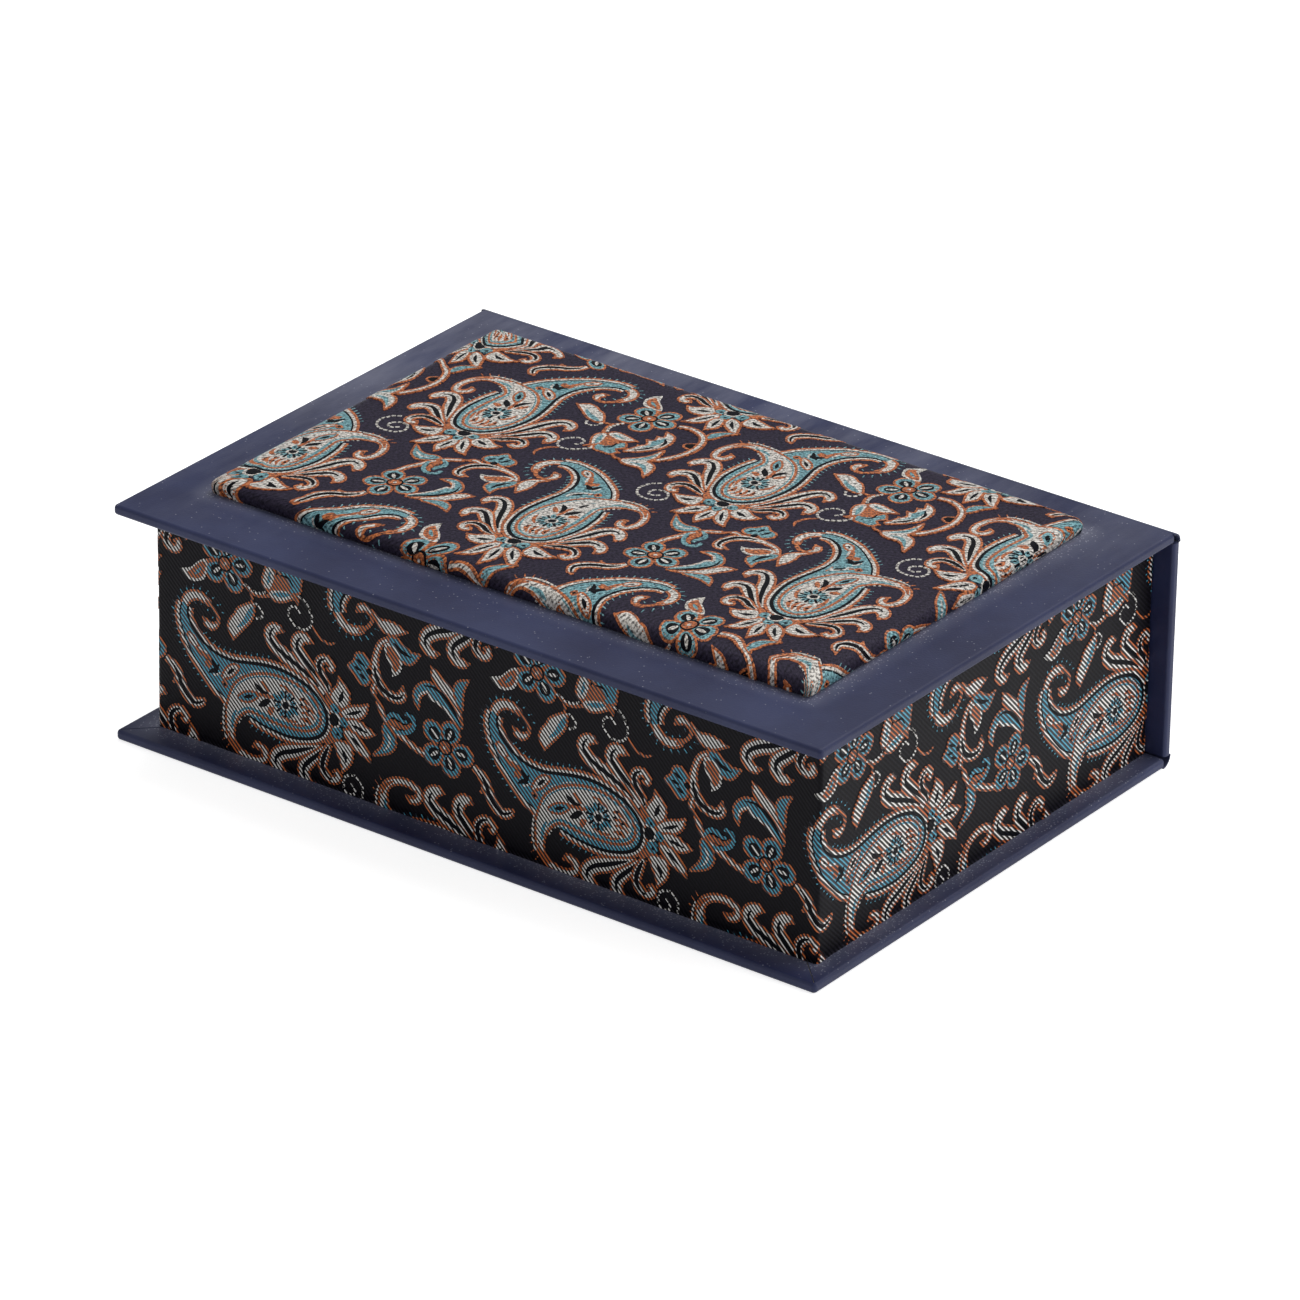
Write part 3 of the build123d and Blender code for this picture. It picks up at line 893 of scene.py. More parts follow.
        # C stem
        s.frond([(31.0, 26.6), (28.4, 24.8), (27.0, 21.5), (26.6, 17.6), (27.6, 14.4), (29.6, 12.6), (32.4, 11.9),
                 (34.6, 12.8), (34.8, 15.8)], (0.8, 0.8, 1.0, 2.0, 3.2, 2.4, 2.2, 1.2), vein=(0.45, 0.85))
        s.frond([(26.6, 13.6), (26.2, 11.8), (27.2, 10.0)], (0.6, 0.8, 0.6))
        s.petal([(26.4, 32.0), (26.4, 32.0), (28.2, 30.7), (30.4, 31.0), (33.0, 30.8), (35.4, 29.9), (35.4, 29.9),
                 (33.2, 28.7), (31.6, 28.1), (29.4, 28.3), (27.8, 29.5)])
        s.petal([(30.8, 26.8), (33.0, 27.2), (35.3, 25.9), (37.2, 24.9), (39.4, 25.0), (39.4, 25.0), (38.0, 23.0),
                 (36.4, 22.0), (34.2, 22.6), (32.6, 24.2)], TEAL)
        s.ribbon(INK, [(32.2, 26.1, 0.3), (34.6, 24.5, 1.1), (37.4, 23.9, 0.3)])
        s.patch(SILVER, [(29.8, 25.4), (32.4, 25.0), (34.4, 22.6), (34.5, 20.0), (33.4, 18.2), (31.8, 17.2),
                         (31.8, 17.2), (31.5, 19.4), (29.6, 22.8)])
        s.patch(ORANGE, [(30.4, 24.8), (32.2, 24.4), (33.8, 22.3), (33.9, 20.2), (33.0, 18.9), (32.2, 18.6),
                         (32.0, 19.8), (30.2, 22.8)])
        # trefoil
        s.petal([(18.9, 16.0), (20.6, 17.6), (21.4, 19.8), (23.4, 20.2), (25.0, 18.6), (24.2, 16.8), (25.0, 14.6),
                 (24.0, 12.8), (22.2, 13.0), (20.9, 14.6)], TEAL)
        for a, b in (((21.2, 18.6), (23.8, 17.4)), ((20.6, 16.4), (22.8, 16.0)), ((22.2, 15.0), (24.2, 14.0))):
            s.ribbon(INK, [(*a, 0.3), ((a[0] + b[0]) / 2, (a[1] + b[1]) / 2, 0.9), (*b, 0.3)])
        s.patch(INK, [(24.0, 16.2), (24.8, 17.2), (25.8, 16.4), (25.2, 15.4)])
        # hooked leaves
        s.petal([(52.0, 10.8), (51.6, 14.0), (50.8, 17.2), (48.4, 19.6), (46.0, 21.4), (43.7, 22.8), (43.7, 22.8),
                 (43.6, 21.2), (45.2, 19.0), (47.6, 16.6), (50.0, 13.4)])
        s.petal([(52.0, 14.8), (52.2, 17.6), (52.6, 20.4), (53.7, 22.7), (53.7, 22.7), (51.4, 21.8), (50.2, 20.0),
                 (50.4, 17.6)], TEAL)
        s.petal([(52.2, 10.4), (50.6, 13.6), (48.2, 16.2), (45.4, 18.2), (42.4, 18.8), (40.0, 17.6), (38.4, 15.4),
                 (38.5, 13.2), (39.4, 12.0), (39.4, 12.0), (39.7, 14.2), (41.0, 15.9), (43.0, 16.6), (42.8, 15.4),
                 (45.2, 14.8), (48.2, 13.2), (50.4, 11.2)], TEAL)
        s.ribbon(SILVER, [(39.4, 13.0, 0.3), (40.0, 15.2, 0.6), (42.6, 16.6, 0.7), (43.0, 15.2, 0.7),
                          (46.0, 14.3, 0.7), (49.0, 12.4, 0.6), (51.4, 10.4, 0.3)])
        s.ribbon(INK, [(41.0, 17.8, 0.2), (44.4, 18.1, 0.7), (48.0, 15.9, 1.0), (50.6, 12.8, 0.7), (52.0, 10.6, 0.2)])
        # S leaf
        s.frond([(59.6, -2.0), (58.8, -3.9), (57.6, -4.8)], (1.4, 1.2, 0.6))
        s.frond([(55.6, 1.2), (57.6, 0.2), (59.3, -1.8), (60.3, -4.2), (61.9, -6.5), (64.2, -8.1), (66.4, -7.4),
                 (67.8, -6.0)], (0.9, 2.2, 2.6, 2.6, 2.8, 2.0, 0.7), vein=(0.1, 0.85))

    @staticmethod
    def bud_spray(s: Sketch) -> None:
        """Draw the spray with the second flower, the bud, the arched stem and the white spirals.

        Args:
            s: The sketch that it joins.
        """
        nudged = partial(moved, du=-0.8, dv=-1.3)
        s.five_petals(-18.1, 31.3, [(-21.8, 34.2), (-17.2, 35.7), (-13.2, 32.2), (-15.7, 27.7), (-20.9, 28.7)])
        # leaf beside the flower
        s.ribbon(ORANGE, [(-21.8, 31.0, 0.8), (-23.2, 30.6, 1.2), (-24.4, 29.4, 1.2)])
        s.patch(SILVER, [(-23.6, 30.8), (-25.2, 30.3), (-26.8, 29.0), (-28.4, 27.4), (-29.8, 26.8), (-31.7, 26.1),
                         (-31.7, 26.1), (-30.0, 24.6), (-28.0, 23.9), (-26.2, 24.4), (-24.6, 25.3), (-23.7, 27.2),
                         (-23.5, 29.0)])
        s.patch(ORANGE, [(-24.0, 30.0), (-25.5, 29.6), (-27.2, 28.0), (-28.8, 26.4), (-29.6, 25.6), (-28.0, 24.7),
                         (-26.4, 25.0), (-24.9, 26.2), (-24.1, 28.0)])
        s.ribbon(TEAL, [(-27.2, 26.0, 0.3), (-26.2, 27.0, 0.9), (-25.2, 28.4, 0.3)])
        # stem to the bud and down to the long bud
        s.ribbon(ORANGE, [(-12.4, 28.0, 0.6), (-10.4, 26.4, 0.9), (-8.0, 25.9, 0.7), (-4.8, 27.0, 0.9)])
        s.stitched([(-12.4, 27.9), (-10.6, 26.9), (-8.2, 26.6), (-5.4, 27.7)], 0.7, 0.7, 0.3)
        s.ribbon(ORANGE, [(-10.4, 26.4, 0.8), (-10.0, 25.0, 0.7), (-10.0, 23.4, 0.7)])
        # bud
        s.petal([(-4.8, 27.9), (-3.2, 26.5), (-0.8, 26.9), (2.0, 28.4), (4.0, 29.4), (2.0, 30.0), (-1.0, 29.8),
                 (-3.2, 29.2)])
        s.ribbon(TEAL, [(-3.6, 27.8, 0.4), (-1.2, 28.3, 1.3), (1.6, 29.2, 0.4)])
        s.petal([(-6.6, 30.6), (-6.0, 28.9), (-4.6, 28.9), (-3.4, 31.6), (-3.5, 33.8), (-4.8, 36.0), (-4.8, 36.0),
                 (-5.8, 33.4)])
        s.ribbon(TEAL, [(-5.4, 29.8, 0.3), (-4.8, 31.4, 0.9), (-4.6, 33.2, 0.3)])
        s.petal(nudged([(2.4, 31.2), (4.9, 31.9), (5.2, 33.8), (5.5, 36.4), (3.9, 37.2), (3.9, 37.2), (2.4, 36.0),
                        (0.6, 37.4), (0.6, 37.4), (-1.6, 36.0), (0.2, 34.8), (2.2, 33.4)]), TEAL)
        s.patch(ORANGE, [(-3.9, 28.9), (-1.4, 29.4), (1.2, 30.0), (1.5, 31.6), (0.2, 33.2), (-2.0, 33.4),
                         (-3.4, 31.6)])
        s.ribbon(INK, nudged([(-0.6, 34.6, 0.3), (1.8, 34.6, 0.7), (3.1, 32.8, 0.3)]))
        s.ribbon(ORANGE, [(1.8, 29.4, 0.8), (3.2, 28.6, 1.2), (4.0, 27.2, 0.5)])
        # white spiral and whip
        s.stitched([(4.0, 29.8), (5.8, 28.6), (7.3, 26.8), (7.9, 24.6), (7.4, 22.6), (5.9, 21.4), (4.0, 21.2),
                    (2.2, 22.1), (1.0, 23.8), (1.1, 25.5), (2.3, 26.4), (3.7, 26.1), (4.8, 24.9)])
        s.ribbon(ORANGE, [(8.1, 23.2, 0.4), (9.3, 21.4, 0.7), (11.2, 20.2, 0.7), (13.2, 19.9, 0.7),
                          (15.0, 20.8, 0.3)])
        # acanthus leaf
        s.petal(nudged([(2.4, 38.6), (0.2, 41.8), (-3.4, 44.4), (-7.4, 44.7), (-10.8, 43.4), (-12.2, 41.0),
                        (-12.2, 41.0), (-9.6, 42.0), (-8.8, 40.7), (-8.8, 40.7), (-6.6, 41.2), (-5.9, 39.8),
                        (-5.9, 39.8), (-3.6, 41.0), (-1.8, 39.8), (-1.8, 39.8), (0.6, 39.2)]))
        s.patch(TEAL, nudged([(-1.2, 40.6), (-3.4, 42.6), (-6.4, 43.2), (-9.2, 42.6), (-7.4, 41.6), (-5.8, 40.8),
                              (-3.6, 41.6)]))
        s.ribbon(INK, nudged([(1.2, 39.6, 0.2), (-1.2, 42.0, 0.9), (-3.4, 43.0, 0.3)]))
        s.ribbon(INK, nudged([(-4.0, 44.0, 0.3), (-6.6, 43.9, 0.8), (-8.6, 42.6, 0.3)]))
        # arc stem, sprout and hanging bud
        s.petal(nudged([(-13.6, 50.6), (-16.6, 49.9), (-18.8, 51.6), (-19.8, 54.4), (-19.8, 54.4), (-17.6, 52.6),
                        (-15.6, 51.9)]), TEAL)
        s.petal(nudged([(-9.6, 50.6), (-9.2, 48.8), (-8.2, 48.2), (-7.2, 48.8), (-6.8, 50.6)]), INK)
        s.frond(nudged([(-17.0, 41.0), (-17.2, 44.2), (-15.4, 47.8), (-12.2, 50.4), (-7.0, 51.7), (-2.0, 51.0),
                        (1.8, 49.2), (4.8, 47.0)]), (0.9, 1.0, 1.0, 1.0, 1.1))
        # pronged leaf
        s.petal(nudged([(7.4, 41.0), (9.0, 43.4), (9.2, 46.6), (10.6, 48.8), (13.2, 50.6), (13.2, 50.6), (9.4, 50.2),
                        (6.8, 48.8), (5.4, 46.4), (2.2, 46.9), (-1.6, 46.2), (-1.6, 46.2), (2.2, 45.4), (4.8, 43.6)]))
        s.ribbon(TEAL, nudged([(0.6, 46.2, 0.3), (3.8, 45.4, 1.2), (6.6, 42.6, 0.4)]))
        s.ribbon(TEAL, nudged([(7.8, 43.6, 0.3), (8.2, 47.0, 1.2), (11.6, 49.8, 0.4)]))
        s.ribbon(ORANGE, nudged([(7.4, 40.8, 0.8), (6.8, 38.6, 0.8), (5.6, 37.2, 0.6)]))
        # long bud and its loop
        s.petal([(-17.0, 15.0), (-16.4, 17.2), (-15.0, 19.0), (-14.2, 20.6), (-12.0, 22.2), (-10.0, 23.2),
                 (-9.6, 21.6), (-10.4, 19.2), (-12.6, 16.4), (-15.6, 12.9), (-15.6, 12.9)])
        s.patch(TEAL, [(-14.4, 16.0), (-12.6, 18.4), (-11.6, 20.6), (-10.0, 22.6), (-9.6, 21.4), (-10.6, 19.2),
                       (-12.6, 16.8)])
        s.stitched([(-9.6, 23.6), (-8.0, 23.3), (-7.0, 22.0), (-7.2, 20.6), (-8.8, 19.8)])
        # free white spiral
        s.stitched([(19.6, -14.5), (20.7, -15.9), (20.3, -17.4), (18.4, -17.6), (17.3, -15.6), (17.9, -13.4),
                    (20.3, -12.4), (22.5, -13.6), (23.0, -16.4), (21.9, -19.4), (18.6, -21.0), (15.2, -19.9),
                    (13.4, -17.2)])

    def figures(self) -> list[Figure]:
        """Draw the repeat and find which shapes lie over which.

        Returns:
            The shapes in drawing order, each with its layer.
        """
        boteh, fillers = Sketch(), Sketch()
        self.boteh(boteh)
        self.bell_spray(fillers)
        self.bud_spray(fillers)
        mirrored = [Figure(f.yarn, [tuple((u + self.mirror_along, self.mirror_up - v) for u, v in polygon)
                                    for polygon in f.polygons]) for f in boteh.figures]
        made = boteh.figures + mirrored + fillers.figures
        top: dict[tuple[int, int], int] = defaultdict(int)
        columns, rows = round(self.along / self.layer_grid), round(self.up / self.layer_grid)
        for figure in made:
            spots = set()
            for polygon in figure.polygons:
                u_low, u_high, v_low, v_high = (math.floor(pick(p[k] for p in polygon) / self.layer_grid)
                                                for k in (0, 1) for pick in (min, max))
                spots |= {(i % columns, j % rows) for i in range(u_low, u_high + 1) for j in range(v_low, v_high + 1)}
            figure.layer = 1 + max(top[spot] for spot in spots)
            for spot in spots:
                top[spot] = figure.layer
        return made


# Bent sheets
def mesh_object(name: str, points: Sequence[Vector], faces: Sequence[Sequence[int]], material: bpy.types.Material,
                sheet_places: Sequence[Flat] | None = None, smooth: bool = True) -> bpy.types.Object:
    """Make a mesh object at the origin from points in millimetres.

    Args:
        name: The piece's name.
        points: Its points.
        faces: The points of each face, by number.
        material: Its finish.
        sheet_places: Where each point lies on the flat cloth, in millimetres, for the weave.
        smooth: Whether its faces are shaded as one curved surface.

    Returns:
        The new object, in the scene.
    """
    mesh = bpy.data.meshes.new(name)
    mesh.from_pydata([p * MM for p in points], [], faces)
    if smooth:
        mesh.shade_smooth()
    if sheet_places is not None:
        layer = mesh.uv_layers.new(name=SHEET_MAP)
        layer.data.foreach_set("uv", [x for loop in mesh.loops for x in sheet_places[loop.vertex_index]])
    mesh.materials.append(material)
    mesh.validate()
    piece = bpy.data.objects.new(name, mesh)
    bpy.context.scene.collection.objects.link(piece)
    return piece


def report(*pieces: bpy.types.Object) -> None:
    """Log each piece and its number of faces."""
    for piece in pieces:
        LOG.info("%s: %d faces", piece.name, len(piece.data.polygons))


def enlist(pieces: Sequence[bpy.types.Object], body: str, node: str | None = None) -> None:
    """Args:
        pieces: The pieces.
        body: The body's name.
        node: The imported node.
    """
    for piece in pieces:
        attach(piece, body)
    if node:
        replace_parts(pieces[0], node)


def clamp(value: float, low: float = 0.0, high: float = 1.0) -> float:
    """Keep a value within limits."""
    return min(max(value, low), high)


def steps(low: float, high: float, size: float) -> list[float]:
    """Evenly spaced values from low to high, about a size apart, both ends included."""
    count = max(1, math.ceil((high - low) / size - 1e-9))
    return [low + (high - low) * k / count for k in range(count + 1)]


def shell_faces(columns: int, rows: int, closed: bool = False) -> list[tuple[int, ...]]:
    """List the faces of a thin shell over a grid of points: its two sides and its edges.

    Args:
        columns: Number of columns of points.
        rows: Number of points in a column.
        closed: Whether the last column joins the first.

    Returns:
        The faces by number: column by column, all the outer side's points before the inner side's.
    """
    count, faces = columns * rows, []
    for i in range(columns if closed else columns - 1):
        a, b = i * rows, (i + 1) % columns * rows
        for k in range(rows - 1):
            quad = (a + k, b + k, b + k + 1, a + k + 1)
            faces += [quad, tuple(count + q for q in reversed(quad))]
        top_a, top_b = a + rows - 1, b + rows - 1
        faces += [(a, a + count, b + count, b), (top_b, top_b + count, top_a + count, top_a)]
    if not closed:
        last = count - rows
        for k in range(rows - 1):
            end = last + k
            faces += [(k + 1, k + 1 + count, k + count, k), (end, end + count, end + 1 + count, end + 1)]
    return faces


def cut_polygons(polygons: list[Polygon], axis: int, lines: Sequence[float]) -> list[Polygon]:
    """Cut convex polygons along lines across one axis.

    Args:
        polygons: The polygons.
        axis: 0 for lines at a place along the cloth, 1 for a place up it.
        lines: The places of the lines.

    Returns:
        The pieces of every polygon.
    """
    touch = 1e-6
    for line in lines:
        made = []
        for polygon in polygons:
            sides = [p[axis] - line for p in polygon]
            if max(sides) <= touch or min(sides) >= -touch:
                made.append(polygon)
                continue
            below, above = [], []
            for p, q, a, b in zip(polygon, polygon[1:] + polygon[:1], sides, sides[1:] + sides[:1]):
                if a <= 0:
                    below.append(p)
                if a >= 0:
                    above.append(p)
                if a * b < 0:
                    k = a / (a - b)
                    other = p[1 - axis] + (q[1 - axis] - p[1 - axis]) * k
                    crossing = (line, other) if axis == 0 else (other, line)
                    below.append(crossing)
                    above.append(crossing)
            made += [tuple(below), tuple(above)]
        polygons = made
    return polygons


def signed_area(polygon: Polygon) -> float:
    """Area of a polygon, below zero where it runs clockwise."""
    return sum(p[0] * q[1] - q[0] * p[1] for p, q in zip(polygon, polygon[1:] + polygon[:1])) / 2


def outside(polygon: Polygon, limits: Sequence[Flat]) -> bool:
    """Whether a polygon lies wholly beyond a rectangle's limits along and up the cloth."""
    return any(max(p[k] for p in polygon) <= low or min(p[k] for p in polygon) >= high
               for k, (low, high) in enumerate(limits))


def as_cut(s: float, t: float) -> Flat:
    """Run the weave straight along the cut sheet."""
    return s, t


@dataclass(kw_only=True)
class BentSheet:
    """A cut sheet of cloth bent over a form, with its real thickness."""

    name: str
    along: Flat
    up: Flat
    bends_along: Sequence[float] = ()
    bends_up: Sequence[float] = ()
    place: Callable[[float, float], Spot]
    weave: Callable[[float, float], Flat] = as_cut
    closed: bool = False
    thickness: float = 0.35
    mesh_step: float = 2.0

    def lines(self, span: Flat, bends: Sequence[float]) -> list[float]:
        """Places of the mesh's lines across one axis: every bend and even steps between them.

        Args:
            span: The sheet's limits along the axis.
            bends: The places where it bends.

        Returns:
            The places, in rising order.
        """
        knots = sorted({*span, *(b for b in bends if span[0] < b < span[1])})
        found = [knots[0]]
        for a, b in zip(knots, knots[1:]):
            found += steps(a, b, self.mesh_step)[1:]
        return found

    def ground(self, material: bpy.types.Material) -> bpy.types.Object:
        """Build the ground sheet with its real thickness.

        Args:
            material: Its finish.

        Returns:
            The sheet.
        """
        columns, rows = self.lines(self.along, self.bends_along), self.lines(self.up, self.bends_up)
        if self.closed:
            columns.pop()
        outer, inner, flat = [], [], []
        for s in columns:
            for t in rows:
                point, normal = self.place(s, t)
                outer.append(point)
                inner.append(point - normal * self.thickness)
                flat.append(self.weave(s, t))
        faces = shell_faces(len(columns), len(rows), self.closed)
        return mesh_object(self.name, outer + inner, faces, material, flat + flat)

    def flat_size(self) -> Flat:
        """Length and width of the flat sheet, in metres."""
        return (self.along[1] - self.along[0]) * MM, (self.up[1] - self.up[0]) * MM


@dataclass(kw_only=True)
class Brocade(BentSheet):
    """A piece of brocade bent over a form: its ground sheet and the raised figures of each yarn."""

    figure_along: Flat
    figure_up: Flat
    cut: Callable[[float, float], Flat]
    float_height: float = 0.06
    layer_height: float = 0.006
    edge_slope: float = 0.07
    sunk: float = 0.04
    overhang: float = 75.0
    weld_steps: float = 2000.0
    least_area: float = 1e-5

    def figures(self, repeat: PaisleyRepeat, drawn: Sequence[Figure],
                yarns: dict[Yarn, bpy.types.Material]) -> list[bpy.types.Object]:
        """Weave the figures over the ground.

        Args:
            repeat: The repeat's size.
            drawn: Its shapes.
            yarns: The finish of each yarn.

        Returns:
            One piece for each yarn.
        """
        limits = (self.figure_along, self.figure_up)
        corners = [self.weave(s, t) for s in self.figure_along for t in self.figure_up]
        spans = []
        for k, size in enumerate((repeat.along, repeat.up)):
            low, high = (pick(c[k] for c in corners) for pick in (min, max))
            spans.append(range(math.floor((low - self.overhang) / size),
                               math.ceil((high + self.overhang) / size) + 1))
        parts: dict[Yarn, tuple[list, list, list]] = {yarn: ([], [], []) for yarn in Yarn}
        for m in spans[0]:
            for n in spans[1]:
                for figure in drawn:
                    laid = [tuple(self.cut(u + m * repeat.along, v + n * repeat.up) for u, v in polygon)
                            for polygon in figure.polygons]
                    pieces = [p if signed_area(p) > 0 else p[::-1] for p in laid if not outside(p, limits)]
                    if pieces:
                        pieces = cut_polygons(pieces, 0, (*self.figure_along, *self.bends_along))
                        pieces = cut_polygons(pieces, 1, (*self.figure_up, *self.bends_up))
                        self.raise_figure(figure, pieces, *parts[figure.yarn])
        return [mesh_object(f"{self.name}_{yarn.value}", points, faces, yarns[yarn], flat, smooth=False)
                for yarn, (points, faces, flat) in parts.items()]

    def raise_figure(self, figure: Figure, pieces: Sequence[Polygon], points: list[Vector],
                     faces: list[tuple[int, ...]], flat: list[Flat]) -> None:
        """Add one shape to its yarn's mesh: a raised top and sloping sides down into the ground.

        Args:
            figure: The shape.
            pieces: Its polygons, cut to the sheet and its bends.
            points: The mesh's points, which grow.
            faces: The mesh's faces, which grow.
            flat: The points' places on the flat cloth, which grow.
        """
        (s_low, s_high), (t_low, t_high) = self.figure_along, self.figure_up
        height = self.float_height + self.layer_height * figure.layer
        index: dict[tuple[int, int], int] = {}
        edges: dict[tuple[int, int], None] = {}
        at: dict[int, Flat] = {}

        def spot(s: float, t: float, level: float) -> int:
            """Add a point over or under the cloth's face.

            Args:
                s: Place along the form, in mm.
                t: Place up it.
                level: Distance outward from the face.

            Returns:
                The point's number.
            """
            point, normal = self.place(s, t)
            points.append(point + normal * level)
            flat.append(self.weave(s, t))
            return len(points) - 1

        for polygon in pieces:
            s, t = (sum(p[k] for p in polygon) / len(polygon) for k in (0, 1))
            if not (s_low < s < s_high and t_low < t < t_high) or signed_area(polygon) < self.least_area:
                continue
            face = []
            for s, t in polygon:
                key = (round(s * self.weld_steps), round(t * self.weld_steps))
                if key not in index:
                    index[key] = spot(s, t, height)
                    at[index[key]] = (s, t)
                if not face or face[-1] != index[key]:
                    face.append(index[key])
            if face[0] == face[-1]:
                face.pop()
            if len(face) > 2 and len(set(face)) == len(face):
                faces.append(tuple(face))
                edges.update(((a, b), None) for a, b in zip(face, face[1:] + face[:1]))
        rim = [(a, b) for a, b in edges if (b, a) not in edges]
        out: dict[int, list[float]] = defaultdict(lambda: [0.0, 0.0])
        for a, b in rim:
            (sa, ta), (sb, tb) = at[a], at[b]
            length = math.dist(at[a], at[b]) or 1.0
            for end in (a, b):
                out[end][0] += (tb - ta) / length
                out[end][1] -= (sb - sa) / length
        foot = {}
        for end, (ds, dt) in out.items():
            reach = self.edge_slope / (math.hypot(ds, dt) or 1.0)
            s, t = at[end]
            foot[end] = spot(clamp(s + ds * reach, s_low, s_high), clamp(t + dt * reach, t_low, t_high), -self.sunk)
        faces.extend((b, a, foot[a], foot[b]) for a, b in rim)


@dataclass
class TrayWrap:
    """The strip of brocade round the tray's walls, turned under its foot and in over its rim."""

    left: float = -95.9
    right: float = 97.1
    front: float = -64.5
    back: float = 69.9
    foot_z: float = 2.6
    rim_z: float = 58.9
    corner_radius: float = 1.0
    sharpest: float = 0.12
    rim_radius: float = 0.4
    wall_over_cloth: float = 3.0
    turn_in_z: float = 46.9
    turn_under: float = 12.0
    lining_top_z: float = 54.9
    under_lining: float = 1.0
    figure_foot: float = 0.1
    settle: float = 9.0
    arc_lines: int = 3
    pattern_start: Flat = (39.0, 17.9)
    tight_beyond_corner: float = 30.0
    repeat_length: float = 92.0
    tight_length: float = 89.7
    drop: float = 0.8
    drop_from: float = 130.0
    drop_over: float = 60.0

    def __post_init__(self) -> None:
        """Measure the strip along the four walls and up over the rim."""
        self.sides = (self.right - self.left, self.back - self.front) * 2
        self.starts = [sum(self.sides[:k]) for k in range(5)]
        self.tight_from = self.starts[1] + self.tight_beyond_corner
        rise = self.rim_z - self.rim_radius - self.foot_z
        quarter = math.pi / 2 * self.rim_radius
        flat = self.wall_over_cloth - 2 * self.rim_radius
        self.rim_path = (rise, rise + quarter, rise + quarter + flat, rise + 2 * quarter + flat)
        self.top = self.rim_path[3] + self.rim_z - self.rim_radius - self.turn_in_z

    def profile(self, t: float) -> tuple[float, float, float]:
        """Follow the cloth up the wall, over the rim and down inside.

        Args:
            t: Distance up the cloth from the tray's foot, below zero for the part turned under.

        Returns:
            How far inside the outer face it is, its height, and how far its face has turned: -1 is down, 0 out, 1 up
            and 2 in.
        """
        a, b, c, d = self.rim_path
        r, arc_z = self.rim_radius, self.rim_z - self.rim_radius
        if t < 0:
            return -t, self.foot_z, -1.0
        if t <= a:
            return 0.0, self.foot_z + t, 0.0
        if t <= b:
            turn = (t - a) / (b - a)
            return r * (1 - math.cos(turn * math.pi / 2)), arc_z + r * math.sin(turn * math.pi / 2), turn
        if t <= c:
            return r + t - b, self.rim_z, 1.0
        if t <= d:
            turn = (t - c) / (d - c)
            return (self.wall_over_cloth - r + r * math.sin(turn * math.pi / 2),
                    arc_z + r * math.cos(turn * math.pi / 2), 1.0 + turn)
        return self.wall_over_cloth, arc_z - (t - d), 2.0

    def place(self, s: float, t: float) -> Spot:
        """Where a point of the flat strip lies on the tray, and which way it faces.

        Near a corner the part turned under or in is pulled together as a fold is.

        Args:
            s: Distance along the strip from the front left corner, to the right.
            t: Distance up the strip from the tray's foot.

        Returns:
            The point in millimetres and its outward normal.
        """
        s %= self.starts[4]
        side = next(k for k in range(4) if s <= self.starts[k + 1])
        length, d = self.sides[side], s - self.starts[side]
        inset, z, turn = self.profile(t)
        near = min(d, length - d)
        radius = self.corner_radius * max(self.sharpest, 1 - inset / self.wall_over_cloth)
        edge = near - inset
        if near < self.settle:
            edge = near * (1 - min(inset, self.settle) / self.settle)
        along, depth, angle = inset + edge, inset, 0.0
        if edge < radius:
            angle = (1 - edge / radius) * math.pi / 4
            along = inset + radius * (1 - math.sin(angle))
            depth = inset + radius * (1 - math.cos(angle))
        at_start = d <= length / 2
        x = along if at_start else length - along
        ox, oy, ex, ey = ((self.left, self.front, 1, 0), (self.right, self.front, 0, 1),
                          (self.right, self.back, -1, 0), (self.left, self.back, 0, -1))[side]
        out = Vector((ey, -ex, 0.0))
        point = Vector((ox + ex * x, oy + ey * x, z)) - out * depth
        out = Matrix.Rotation(-angle if at_start else angle, 3, "Z") @ out
        tilt = turn * math.pi / 2
        return point, out * math.cos(tilt) + UP * math.sin(tilt)

    def dropped(self, s: float) -> float:
        """How much lower the pattern sits at a place along the strip, from near the front right corner on."""
        return self.drop * clamp((s - self.drop_from) / self.drop_over)

    def weave(self, s: float, t: float) -> Flat:
        """The place in the pattern of a point of the strip.

        On the right wall the photograph shows the repeat a little shorter than on the front.

        Args:
            s: Distance along the strip.
            t: Distance up the strip.

        Returns:
            The place along and up the pattern.
        """
        (start, foot), bend = self.pattern_start, self.tight_from
        u = s - start if s < bend else bend - start + (s - bend) * self.repeat_length / self.tight_length
        return u, t - foot + self.dropped(s)

    def cut(self, u: float, v: float) -> Flat:
        """The point of the strip that holds a place in the pattern.

        Args:
            u: The place along the pattern.
            v: The place up it.

        Returns:
            The distance along and up the strip.
        """
        (start, foot), bend = self.pattern_start, self.tight_from
        s = u + start
        if s >= bend:
            s = bend + (s - bend) * self.tight_length / self.repeat_length
        return s, v + foot - self.dropped(s)

    def cloth(self) -> Brocade:
        """Describe the strip as brocade.

        Returns:
            The cloth, with a mesh line at each bend of a corner or rim.
        """
        n, end = self.arc_lines, self.starts[4]
        near = [*(k * self.corner_radius / n for k in range(-n, n + 1)), -self.settle, self.settle]
        bends = [start + x for start in self.starts for x in near]
        a, b, c, d = self.rim_path
        rims = [low + (high - low) * k / n for low, high in ((a, b), (c, d)) for k in range(n + 1)]
        lining_line = d + self.rim_z - self.rim_radius - self.lining_top_z
        return Brocade(name="tray_cloth", along=(0.0, end), up=(-self.turn_under, self.top), closed=True,
                       figure_along=(0.0, end), figure_up=(self.figure_foot, lining_line + self.under_lining),
                       bends_along=[x for x in bends if 0 < x < end], bends_up=[0.0, *rims],
                       place=self.place, weave=self.weave, cut=self.cut)

